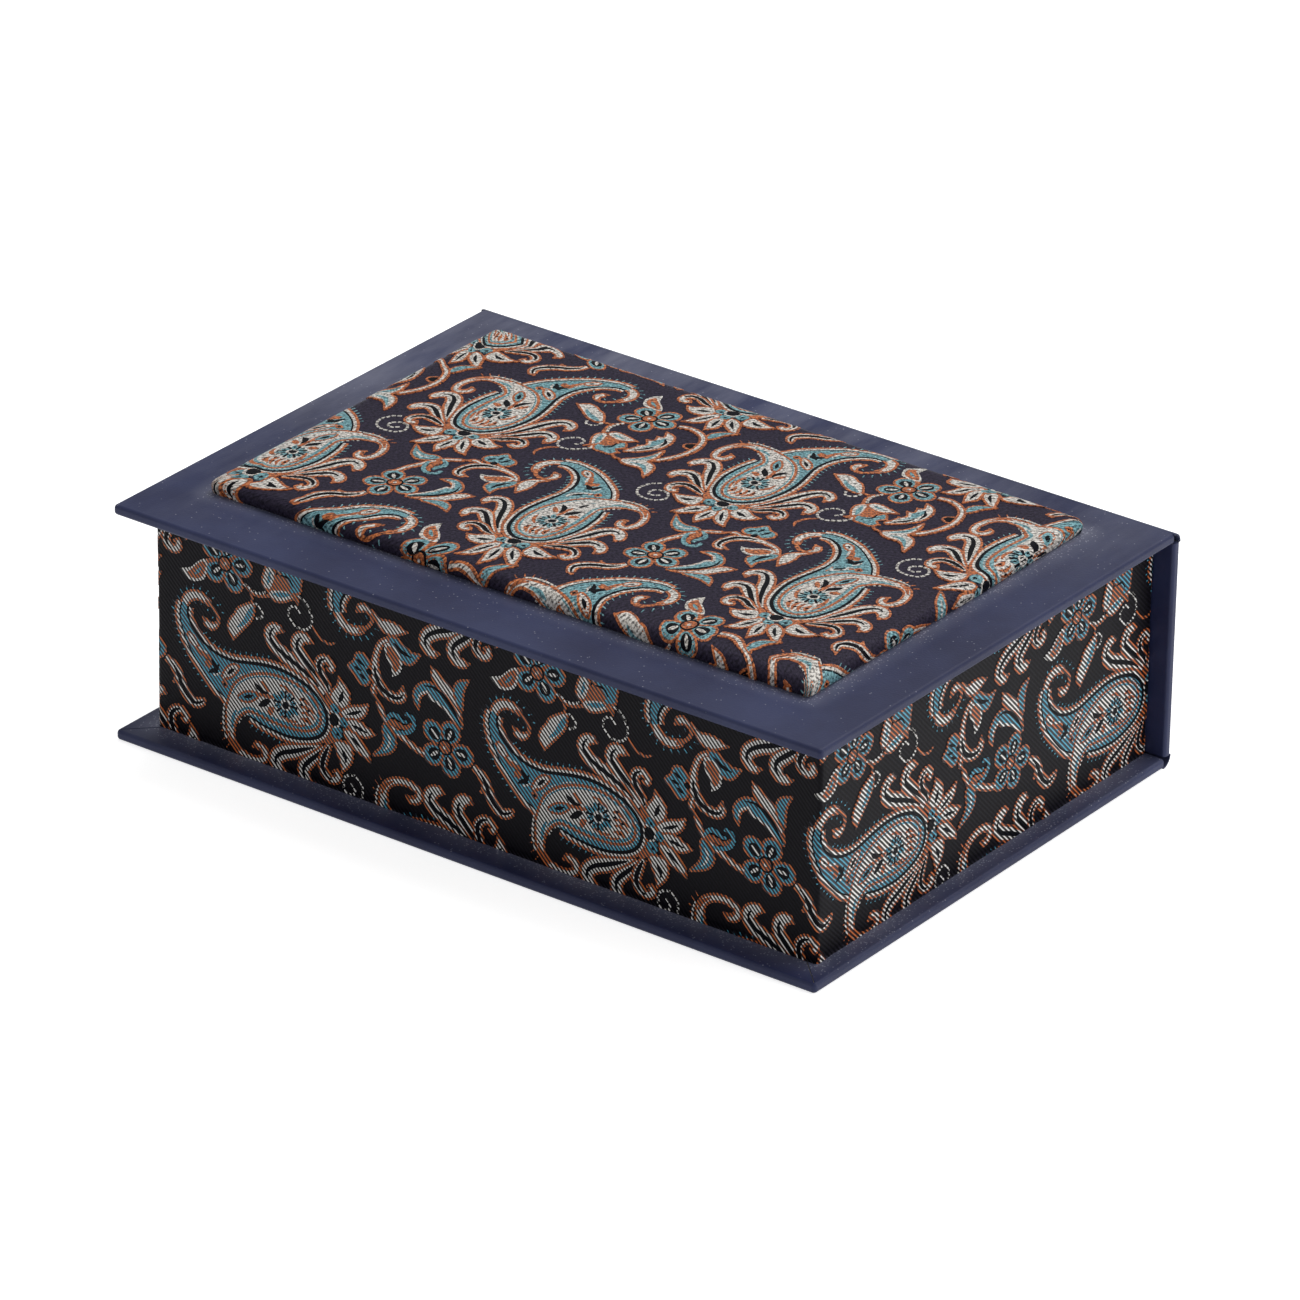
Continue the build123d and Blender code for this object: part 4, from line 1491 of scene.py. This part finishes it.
    def build(self, shop: "Shop") -> None:
        """Wrap the tray in its cloth.

        Args:
            shop: The finishes and the drawn repeat.
        """
        cloth = self.cloth()
        sheet = cloth.ground(shop.tray_ground)
        figures = cloth.figures(shop.repeat, shop.drawn, shop.tray_yarns)
        enlist((sheet, *figures), "base", "tray_brocade")
        cloth.flat_size()
        report(sheet, *figures)


@dataclass
class LidPanel:
    """The padded brocade panel on the lid: card, wadding and the cloth drawn round them and under."""

    length: float = 174.0
    depth: float = 111.0
    middle: Flat = (-1.6, 2.0)
    corner_radius: float = 1.3
    seam_inset: float = 5.2
    base_z: float = 62.0
    cloth: float = 0.5
    soft_mitre: float = 0.4
    slack: float = 0.11
    slack_wave: float = 26.0
    slack_fade: float = 12.0
    origin: Flat = (14.8, 22.6)
    along_axis: Flat = (0.0194, -0.9663)
    up_axis: Flat = (0.978, 0.0886)
    drawn_from: float = -46.0
    drawn: float = 1.35
    bow: float = 1.7
    bow_width: float = 14.0
    hidden: float = 9.8
    pad_under: float = 11.0
    pad_gap: float = 0.05
    pad_step: float = 3.0
    pad_shoulder: int = 8
    side_points: tuple[Flat, ...] = ((12.0, 0.02), (3.0, 0.02), (0.75, 0.1), (0.25, 0.5), (0.02, 1.7), (0.12, 2.42),
                                     (0.45, 3.03), (0.98, 3.5), (1.7, 3.82), (2.6, 3.99), (5.2, 4.16))
    crown_points: tuple[Flat, ...] = ((5.2, 4.16), (10.4, 4.32), (19.5, 4.45), (30.2, 4.5))
    shoulder_lines: tuple[float, ...] = (0.0, 1.4, 2.2, 2.8, 3.4, 4.0, 4.6, 5.2, 5.8, 6.6, 7.4, 8.0)
    crown_lines: tuple[float, ...] = (3.0, 6.0, 10.0, 16.0, 25.0)

    def __post_init__(self) -> None:
        """Measure the cloth's way from the shoulder down the side and under."""
        line = catmull(self.side_points[::-1], step=0.25)
        self.side = [(0.0, *line[0])]
        for p, q in zip(line, line[1:]):
            self.side.append((self.side[-1][0] + math.dist(p, q), *q))
        self.reach = self.side[-1][0]
        self.half = (self.length / 2, self.depth / 2)
        self.top_half = tuple(h - self.seam_inset for h in self.half)

    def side_at(self, run: float) -> tuple[float, float, float]:
        """Follow the cloth over the shoulder, down the side and under.

        Args:
            run: Distance from where the shoulder starts.

        Returns:
            Inset from the panel's widest outline, height over the lid, and the face's tilt from straight up.
        """
        run = clamp(run, 0.0, self.reach)
        k = next((i for i in range(1, len(self.side)) if self.side[i][0] >= run), len(self.side) - 1)
        (ra, ia, za), (rb, ib, zb) = self.side[k - 1], self.side[k]
        share = (run - ra) / ((rb - ra) or 1.0)
        return ia + (ib - ia) * share, za + (zb - za) * share, math.atan2(za - zb, ia - ib) if rb > ra else 0.0

    def crown(self, inset: float) -> float:
        """Find how high the panel's top stands.

        Args:
            inset: Distance from its side.

        Returns:
            The height over the lid.
        """
        for (ia, za), (ib, zb) in zip(self.crown_points, self.crown_points[1:]):
            if inset <= ib:
                return za + (zb - za) * (inset - ia) / (ib - ia)
        return self.crown_points[-1][1]

    def place(self, s: float, t: float, cover: float = 0.0) -> Spot:
        """Where a point of the flat cloth lies on the panel, and which way it faces.

        Args:
            s: Distance along the panel from its middle, on the flat cloth.
            t: Distance across the panel from its middle.
            cover: How far under the cloth's face.

        Returns:
            The point in millimetres and its outward normal.
        """
        radius = self.corner_radius
        core = [h - radius for h in self.top_half]
        over = [abs(x) - c for x, c in zip((s, t), core)]
        sign = [math.copysign(1.0, x) for x in (s, t)]
        at_corner = over[0] > 0 and over[1] > 0
        if at_corner:
            rho = math.hypot(*over)
            direction, run = (over[0] / rho, over[1] / rho), rho - radius
        else:
            direction, run = (1.0, 0.0) if over[0] >= over[1] else (0.0, 1.0), max(over) - radius
        if run <= 0:
            gaps = sorted(h - abs(x) for h, x in zip(self.half, (s, t)))
            soft = self.soft_mitre * max(0.0, gaps[0] - self.seam_inset) + 1e-6
            inset = gaps[0] - soft * math.log1p(math.exp((gaps[0] - gaps[1]) / soft))
            z = self.crown(max(inset, self.seam_inset)) + self.slack * self.unevenness(s, t, gaps[0])
            flat, normal = (s, t), UP.copy()
        else:
            inset, z, tilt = self.side_at(run)
            flat = []
            for k, x in enumerate((s, t)):
                widened = self.half[k] - inset - radius
                if at_corner:
                    flat.append(sign[k] * (widened + radius * direction[k]))
                elif direction[k]:
                    flat.append(sign[k] * (self.half[k] - inset))
                else:
                    flat.append(x * widened / core[k])
            out = Vector((sign[0] * direction[0], sign[1] * direction[1], 0.0))
            normal = out * math.sin(tilt) + UP * math.cos(tilt)
        return Vector((*flat, z)) + Vector((*self.middle, self.base_z)) - normal * cover, normal

    def unevenness(self, s: float, t: float, inset: float) -> float:
        """Soft unevenness of the wadding, from -1 to 1, fading to nothing at the shoulder.

        Args:
            s: Distance along the panel from its middle.
            t: Distance across the panel from its middle.
            inset: Distance from its side.

        Returns:
            The unevenness.
        """
        fade = clamp((inset - self.seam_inset) / self.slack_fade)
        return fade * noise.noise(Vector((s / self.slack_wave, t / self.slack_wave, 3.1)))

    def bowed(self, s: float) -> float:
        """How far the weft bows forward at a place along the panel."""
        return self.bow * math.exp(-(s / self.bow_width) ** 2)

    def weave(self, s: float, t: float) -> Flat:
        """The place in the pattern of a point of the flat cloth, which is drawn tighter towards the front.

        Args:
            s: Distance along the panel from its middle.
            t: Distance across the panel from its middle.

        Returns:
            The place along and up the pattern.
        """
        if t < self.drawn_from:
            t = self.drawn_from + (t - self.drawn_from) / self.drawn
        x, y = s + self.middle[0] - self.origin[0], t - self.bowed(s) + self.middle[1] - self.origin[1]
        (ax, ay), (bx, by) = self.along_axis, self.up_axis
        scale = ax * by - bx * ay
        return (x * by - y * bx) / scale, (ax * y - ay * x) / scale

    def cut(self, u: float, v: float) -> Flat:
        """The point of the flat cloth that holds a place in the pattern.

        Args:
            u: The place along the pattern.
            v: The place up it.

        Returns:
            The distance along and across the panel from its middle.
        """
        s, t = (self.origin[k] - self.middle[k] + u * self.along_axis[k] + v * self.up_axis[k] for k in (0, 1))
        t += self.bowed(s)
        if t < self.drawn_from:
            t = self.drawn_from + (t - self.drawn_from) * self.drawn
        return s, t

    def brocade(self) -> Brocade:
        """Describe the panel's cloth.

        Returns:
            The cloth, with mesh lines close together over its shoulder.
        """
        bends = []
        for h in self.top_half:
            lines = [*(h + x for x in self.shoulder_lines), *(h - x for x in (self.corner_radius, *self.crown_lines))]
            bends.append(sorted([-x for x in lines] + lines))
        along, up = ((-h - self.reach, h + self.reach) for h in self.top_half)
        shown = self.reach - self.hidden
        figures = [(-h - shown, h + shown) for h in self.top_half]
        return Brocade(name="panel_cloth", along=along, up=up, figure_along=figures[0], figure_up=figures[1],
                       bends_along=bends[0], bends_up=bends[1], place=self.place, weave=self.weave, cut=self.cut)

    def pad(self, material: bpy.types.Material) -> bpy.types.Object:
        """Build the wadding under the cloth, a closed form over the card.

        Args:
            material: Its finish.

        Returns:
            The pad.
        """
        reach, floor = self.reach - self.pad_under, self.base_z + self.cloth
        lines = []
        for h in self.top_half:
            edge = [h + reach * k / self.pad_shoulder for k in range(1, self.pad_shoulder + 1)]
            lines.append(sorted([-x for x in edge] + steps(-h, h, self.pad_step) + edge))
        top = [self.place(s, t, self.cloth + self.pad_gap)[0] for s in lines[0] for t in lines[1]]
        for point in top:
            point.z = max(point.z, floor + self.pad_gap)
        bottom = [Vector((*point.xy, floor)) for point in top]
        return mesh_object("panel_pad", top + bottom, shell_faces(len(lines[0]), len(lines[1])), material)

    def build(self, shop: "Shop") -> None:
        """Cover the panel with its cloth and lay its wadding under it.

        Args:
            shop: The finishes and the drawn repeat.
        """
        cloth = self.brocade()
        # the panel's ground takes its lighter copy, with painted light
        sheet = cloth.ground(shop.panel_ground_painted_lighter)
        figures = cloth.figures(shop.repeat, shop.drawn, shop.panel_yarns)
        pad = self.pad(shop.wadding)
        enlist((sheet, *figures), "lid", "panel_brocade")
        enlist((pad,), "lid", "panel_wadding")
        cloth.flat_size()
        report(sheet, pad, *figures)


@dataclass
class Linings:
    """Lining cloth glued inside the lid and round the tray's walls, and drawn over the card on the tray's floor."""

    lid_half: float = 98.5
    lid_span: Flat = (-68.5, 69.6)
    lid_face: float = 59.1
    lid_thickness: float = 0.3
    left: float = -92.5
    right: float = 93.7
    front: float = -61.1
    back: float = 66.5
    foot: float = 5.1
    wall_top: float = 54.9
    wall_thickness: float = 0.4
    corner_line: float = 0.4
    seam_gap: float = 0.3
    card_gap: float = 0.3
    card_face: float = 6.1
    card_thickness: float = 0.7
    card_edge: float = 0.3
    edge_lines: tuple[float, ...] = (0.04, 0.15, 0.3)
    cut_wander: float = 0.16
    wander_wave: float = 17.0
    lid_wander_power: int = 60
    wall_wander_power: int = 40
    slack: float = 0.05
    slack_wave: float = 11.0
    held_near: float = 4.0

    def __post_init__(self) -> None:
        """Measure the tray's inside."""
        self.width, self.depth = self.right - self.left, self.back - self.front

    def wander(self, run: float, edge: float) -> float:
        """How far a hand-cut edge strays inward at a place along it."""
        return self.cut_wander * (0.5 + 0.5 * noise.noise(Vector((run / self.wander_wave, edge, 0.7))))

    def loose(self, s: float, t: float) -> float:
        """How far the glued cloth stands back from its outermost face at a place on it."""
        return self.slack * (0.5 + 0.5 * noise.noise(Vector((s / self.slack_wave, t / self.slack_wave, 5.3))))

    def on_lid(self, s: float, t: float) -> Spot:
        """Where a point of the lid's lining lies, face down.

        Args:
            s: Distance along the sheet from its middle.
            t: Distance across the lid.

        Returns:
            The point and its normal.
        """
        (low, high), power = self.lid_span, self.lid_wander_power
        x = -s + math.copysign(self.wander(t, 1.0), s) * (abs(s) / self.lid_half) ** power
        y = t + self.wander(s, 2.0) * ((high - t) / (high - low)) ** power
        return Vector((x, y, self.lid_face + self.loose(s, t))), -UP

    def on_walls(self, s: float, t: float) -> Spot:
        """Where a point of the walls' lining lies: round the inside from the back left corner, to the right.

        Args:
            s: Distance along the strip.
            t: Its height.

        Returns:
            The point and its normal, which points into the tray.
        """
        for x, y, ex, ey, length in ((self.left, self.back, 1, 0, self.width),
                                     (self.right, self.back, 0, -1, self.depth),
                                     (self.right, self.front, -1, 0, self.width),
                                     (self.left, self.front, 0, 1, self.depth)):
            if s <= length or (x, ey) == (self.left, 1):
                break
            s -= length
        inward, ahead = Vector((ey, -ex, 0.0)), Vector((ex, ey, 0.0))
        point = Vector((x, y, t)) + ahead * s
        if s < 1e-6:
            inward += ahead
        elif length - s < 1e-6:
            inward -= ahead
        point -= inward * self.loose(s + x, t) * (min(s, length - s, self.held_near) / self.held_near)
        height = (t - self.foot) / (self.wall_top - self.foot)
        point.z -= self.wander(s + y, 3.0) * height ** self.wall_wander_power
        return point, inward

    def on_floor(self, s: float, t: float) -> Spot:
        """Where a point of the floor card's cloth lies: flat, and rounded down at the card's edge.

        Args:
            s: The place along the tray.
            t: The place across it.

        Returns:
            The point and its normal.
        """
        near = max(min(s - self.left, self.right - s, t - self.front, self.back - t) - self.card_gap, 0.0)
        drop = 0.0
        if near < self.card_edge:
            drop = self.card_edge - math.sqrt(max(self.card_edge ** 2 - (self.card_edge - near) ** 2, 0.0))
        z = self.card_face - drop - self.loose(s, t) * min(near / self.held_near, 1.0)
        return Vector((s, t, z)), UP

    def lid_sheet(self) -> BentSheet:
        """Describe the lid's lining.

        Returns:
            The sheet, with mesh lines near its three cut edges.
        """
        bends = [side * (self.lid_half - e) for side in (-1, 1) for e in (1.0, 3.0)]
        return BentSheet(name="lid_lining_cloth", along=(-self.lid_half, self.lid_half), up=self.lid_span,
                         bends_along=bends, bends_up=[self.lid_span[0] + e for e in (1.0, 3.0)],
                         place=self.on_lid, thickness=self.lid_thickness)

    def wall_sheet(self) -> BentSheet:
        """Describe the walls' lining.

        Returns:
            The strip, with mesh lines at each corner and near its top edge.
        """
        corners = (self.width, self.width + self.depth, 2 * self.width + self.depth)
        return BentSheet(name="wall_lining_cloth", along=(self.seam_gap, 2 * (self.width + self.depth)),
                         up=(self.foot, self.wall_top), bends_up=[self.wall_top - e for e in (1.0, 0.3)],
                         bends_along=[c + e * self.corner_line for c in corners for e in (-1, 0, 1)],
                         place=self.on_walls, thickness=self.wall_thickness)

    def floor_sheet(self) -> BentSheet:
        """Describe the floor card's cloth.

        Returns:
            The sheet, with mesh lines over the card's rounded edges.
        """
        ends = [(low + self.card_gap, high - self.card_gap)
                for low, high in ((self.left, self.right), (self.front, self.back))]
        bends = [[low + e for e in self.edge_lines] + [high - e for e in self.edge_lines] for low, high in ends]
        return BentSheet(name="floor_lining_cloth", along=ends[0], up=ends[1], bends_along=bends[0],
                         bends_up=bends[1], place=self.on_floor, thickness=self.card_thickness)

    def build(self, shop: "Shop") -> None:
        """Args:
            shop: The finishes.
        """
        for sheet, body, node, under in (
                (self.lid_sheet(), "lid", "lid_lining", ["lid_cover", "lid_board"]),
                (self.wall_sheet(), "base", "tray_wall_lining", ["tray_cloth", "corner_stays"]),
                (self.floor_sheet(), "base", "tray_floor_lining", ["tray_floor"])):
            piece = sheet.ground(shop.lining)
            enlist((piece,), body, node)
            sheet.flat_size()
            report(piece)


@dataclass
class CaseJoint:
    """The hollow joint between lid and spine: leatherette with its lining, which also covers both boards' edges."""

    outer_radius: float = JOINT_RADIUS
    thickness: float = 0.3
    half_length: float = 102.5
    turns: int = 28
    mesh_step: float = 4.0
    edge_half_length: float = 102.2
    edge_cover: float = 0.15
    spine_inner_y: float = 69.9

    def on_joint(self, radius: float, s: float, t: float) -> Spot:
        """Where a point of a strip lies on the joint's quarter round.

        Args:
            radius: Radius of the strip's outer face.
            s: Distance along the joint, to the left.
            t: Distance round it, from the spine up to the lid.

        Returns:
            The point and its outward normal.
        """
        angle = t / radius
        out = Vector((0.0, math.cos(angle), math.sin(angle)))
        return Vector((-s, JOINT_Y, CASE_HEIGHT - JOINT_RADIUS)) + out * radius, out

    def on_lid_edge(self, s: float, t: float) -> Spot:
        """Where a point of the lining over the lid board's edge lies, facing the joint."""
        return Vector((-s, JOINT_Y + self.edge_cover, CASE_HEIGHT - JOINT_RADIUS + t)), Vector((0.0, 1.0, 0.0))

    def on_spine_edge(self, s: float, t: float) -> Spot:
        """Where a point of the lining over the spine board's top edge lies, facing up."""
        return Vector((s, self.spine_inner_y + t, CASE_HEIGHT - JOINT_RADIUS + self.edge_cover)), UP

    def cover_edges(self, shop: "Shop") -> None:
        """Carry the joint's lining over the edges of both boards.

        Args:
            shop: The finishes.
        """
        reach = self.outer_radius - 2 * self.thickness
        for name, body, place, width in (
                ("lid_edge_lining", "lid", self.on_lid_edge, reach),
                ("spine_edge_lining", "base", self.on_spine_edge, reach + JOINT_Y - self.spine_inner_y)):
            sheet = BentSheet(name=name, along=(-self.edge_half_length, self.edge_half_length), up=(0.0, width),
                              place=place, thickness=self.edge_cover)
            piece = sheet.ground(shop.lining)
            enlist((piece,), body)
            report(piece)

    def build(self, shop: "Shop") -> None:
        """Build both strips round the joint, in place of the imported hinge cover and its lining.

        Args:
            shop: The finishes.
        """
        for name, radius, node, slot in (
                ("joint_leatherette", self.outer_radius, "lid_hinge_cover", "leatherette"),
                ("joint_lining", self.outer_radius - self.thickness, "hinge_lining", "lining")):
            arc = radius * math.pi / 2
            strip = BentSheet(name=name, along=(-self.half_length, self.half_length), up=(0.0, arc),
                              bends_up=[arc * k / self.turns for k in range(1, self.turns)],
                              place=partial(self.on_joint, radius), weave=lambda s, t: (-s, t),
                              thickness=self.thickness, mesh_step=self.mesh_step)
            piece = strip.ground(getattr(shop, slot))
            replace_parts(piece, node)
            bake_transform(piece)
            report(piece)


@dataclass
class CaseBoards:
    """The covered boards and the plain inner parts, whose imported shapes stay."""

    finishes: dict[str, tuple[str, ...]] = field(default_factory=lambda: {
        "leatherette": ("bottom_cover", "spine_cover", "lid_cover"),
        "greyboard": ("bottom_board", "spine_board", "lid_board", "tray_floor", "tray_front_wall", "tray_back_wall",
                      "tray_left_wall", "tray_right_wall", "panel_card"),
        "stay_tape": ("corner_stays",),
    })

    def build(self, shop: "Shop") -> None:
        """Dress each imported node.

        Args:
            shop: The finishes.
        """
        for slot, names in self.finishes.items():
            for name in names:
                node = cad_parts[name]
                node.data.materials.clear()
                node.data.materials.append(getattr(shop, slot))
                report(node)


@dataclass(frozen=True)
class Lamp:
    """A square soft lamp that looks at the middle of the table, in metres and watts."""

    name: str
    place: tuple[float, float, float]
    size: float
    power: float

    def hang(self) -> None:
        """Add the lamp to the scene."""
        data = bpy.data.lights.new(self.name, "AREA")
        data.size, data.energy = self.size, self.power
        lamp = bpy.data.objects.new(self.name, data)
        lamp.location = self.place
        lamp.rotation_mode = "QUATERNION"
        lamp.rotation_quaternion = (-Vector(self.place)).to_track_quat("-Z", "Y")
        bpy.context.scene.collection.objects.link(lamp)


@dataclass
class Studio:
    """A white table in soft light, and the camera of the photograph."""

    azimuth: float = 36.1804
    elevation: float = 26.4985
    roll: float = 0.9748
    distance: float = 2097.32
    focal_pixels: float = 8898.19
    picture_pixels: float = 1300.0
    sensor: float = 36.0
    target: tuple[float, float, float] = (5.6474, -5.3879, 31.0)
    floor_half: float = 3000.0
    floor_drop: float = 0.02
    lamps: tuple[Lamp, ...] = (Lamp("overhead", (0.05, 0.75, 1.5), 1.2, 15.0),
                               Lamp("right", (1.35, 0.55, 0.6), 0.9, 7.5),
                               Lamp("front", (-0.9, -1.5, 1.0), 1.0, 2.2))

    def camera(self) -> None:
        """Stand the camera where the photograph was taken."""
        a, e, roll = (math.radians(x) for x in (self.azimuth, self.elevation, self.roll))
        ahead = Vector((-math.sin(a) * math.cos(e), math.cos(a) * math.cos(e), -math.sin(e)))
        level = ahead.cross(UP).normalized()
        upright = level.cross(ahead)
        right = level * math.cos(roll) + upright * math.sin(roll)
        top = upright * math.cos(roll) - level * math.sin(roll)
        data = bpy.data.cameras.new("camera")
        data.sensor_width = self.sensor
        data.lens = self.focal_pixels / self.picture_pixels * self.sensor
        data.clip_start, data.clip_end = 0.05, 50.0
        camera = bpy.data.objects.new("camera", data)
        bpy.context.scene.collection.objects.link(camera)
        turn = Matrix((right, top, -ahead)).transposed().to_4x4()
        camera.matrix_world = Matrix.Translation((Vector(self.target) - ahead * self.distance) * MM) @ turn
        bpy.context.scene.camera = camera

    def floor(self) -> None:
        """Lay the white table: it keeps the box's shadow and shows white elsewhere."""
        m = blank_material("studio_table")
        paint = wire(m, "BsdfDiffuse", {"Color": linear("#e6e6e6")})
        glow = wire(m, "Emission", {"Color": linear("#ffffff"), "Strength": 0.72})
        ray = add_node(m, "LightPath").outputs
        seen = calc(m, "MAXIMUM", ray["Is Camera Ray"], ray["Is Glossy Ray"])
        seen = calc(m, "MAXIMUM", seen, ray["Is Transmission Ray"])
        both = wire(m, "AddShader", {0: paint, 1: glow})
        add_node(m, "OutputMaterial", {"Surface": wire(m, "MixShader", {0: seen, 1: paint, 2: both})})
        corners = [Vector((x * self.floor_half, y * self.floor_half, -self.floor_drop))
                   for x, y in ((-1, -1), (1, -1), (1, 1), (-1, 1))]
        mesh_object("studio_floor", corners, [(0, 1, 2, 3)], m)

    def surroundings(self) -> None:
        """Fill the room with pale light, and show white behind the table."""
        world = bpy.data.worlds.new("studio")
        world.use_nodes = True
        world.node_tree.nodes.clear()
        ray = add_node(world, "LightPath").outputs["Is Camera Ray"]
        light, shown = (wire(world, "Background", {"Color": linear("#ffffff"), "Strength": strength})
                        for strength in (0.4, 1.0))
        add_node(world, "OutputWorld", {"Surface": wire(world, "MixShader", {0: ray, 1: light, 2: shown})})
        bpy.context.scene.world = world

    def build(self) -> None:
        """Set up the whole studio."""
        self.camera()
        self.floor()
        self.surroundings()
        for lamp in self.lamps:
            lamp.hang()
        bpy.context.scene.view_settings.view_transform = "Standard"


class Shop:
    """Every finish of the box, made once, and the drawn repeat of its cloth."""

    def __init__(self) -> None:
        """Make the finishes and draw the repeat."""
        self.leatherette = Leatherette().material()
        self.lining = LiningCloth().material()
        self.greyboard = PressedFibre("greyboard", "#85807a", "#b3aea3", 0.6, 0.00004).material()
        self.stay_tape = PressedFibre("gummed_paper", "#8f7350", "#a98b64", 0.9, 0.00002).material()
        self.wadding = PressedFibre("wadding", "#d9d9d5", "#efefec", 1.2, 0.0003).material()
        self.tray_ground = BrocadeGround("tray_ground", "#060508", "#121017", 0.55, 0.6, 0.00011).material()
        self.tray_yarns = self.yarns(
            FloatYarn("tray_orange", "#dc7c3e", "#a4451b", "#1c0905", gap_share=0.64),
            FloatYarn("tray_silver", "#ffffff", "#f0ebe2", "#050407", gap_share=0.64),
            FloatYarn("tray_teal", "#62bad2", "#2b7d9e", "#051420", gap_share=0.64),
            FloatYarn("tray_ink", "#080a14", "#05060e", "#020304", shine=0.05))
        # The panel lies so flat to the eye that its ribs would be finer than a pixel
        # painted light: the panel's ground is a lighter, more purple copy of the tray's ground, for the light that
        # falls on the panel's top from above
        self.panel_ground_painted_lighter = BrocadeGround("panel_ground_painted_lighter", "#100c18", "#3f394c", 0.08, 1.2, 0.00008).material()
        self.panel_yarns = self.yarns(
            FloatYarn("panel_orange", "#fba968", "#c56b37", "#34170d", 0.12, 1.5, 0.48),
            FloatYarn("panel_silver", "#ffffff", "#dfd9d0", "#353132", 0.12, 1.5, 0.47),
            FloatYarn("panel_teal", "#bfe2e4", "#74a8b0", "#173641", 0.12, 1.5, 0.48),
            FloatYarn("panel_ink", "#0b0d1c", "#070812", "#030408", 0.12, 1.2, 0.5, shine=0.05))
        self.repeat = PaisleyRepeat()
        self.drawn = self.repeat.figures()
        LOG.info("cloth repeat: %d shapes, %d layers", len(self.drawn), max(f.layer for f in self.drawn))

    @staticmethod
    def yarns(*finishes: FloatYarn) -> dict[Yarn, bpy.types.Material]:
        """Make a cloth's four yarns, from finishes in the order of Yarn."""
        return {yarn: finish.material() for yarn, finish in zip(Yarn, finishes)}


def main() -> None:
    """Build the box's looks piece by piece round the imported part."""
    logging.basicConfig(level=logging.INFO, format="%(name)s %(message)s", stream=sys.stdout)
    Studio().build()
    shop = Shop()
    CaseBoards().build(shop)
    joint = CaseJoint()
    joint.build(shop)
    joint.cover_edges(shop)
    TrayWrap().build(shop)
    Linings().build(shop)
    LidPanel().build(shop)


if __name__ == "__main__":
    main()
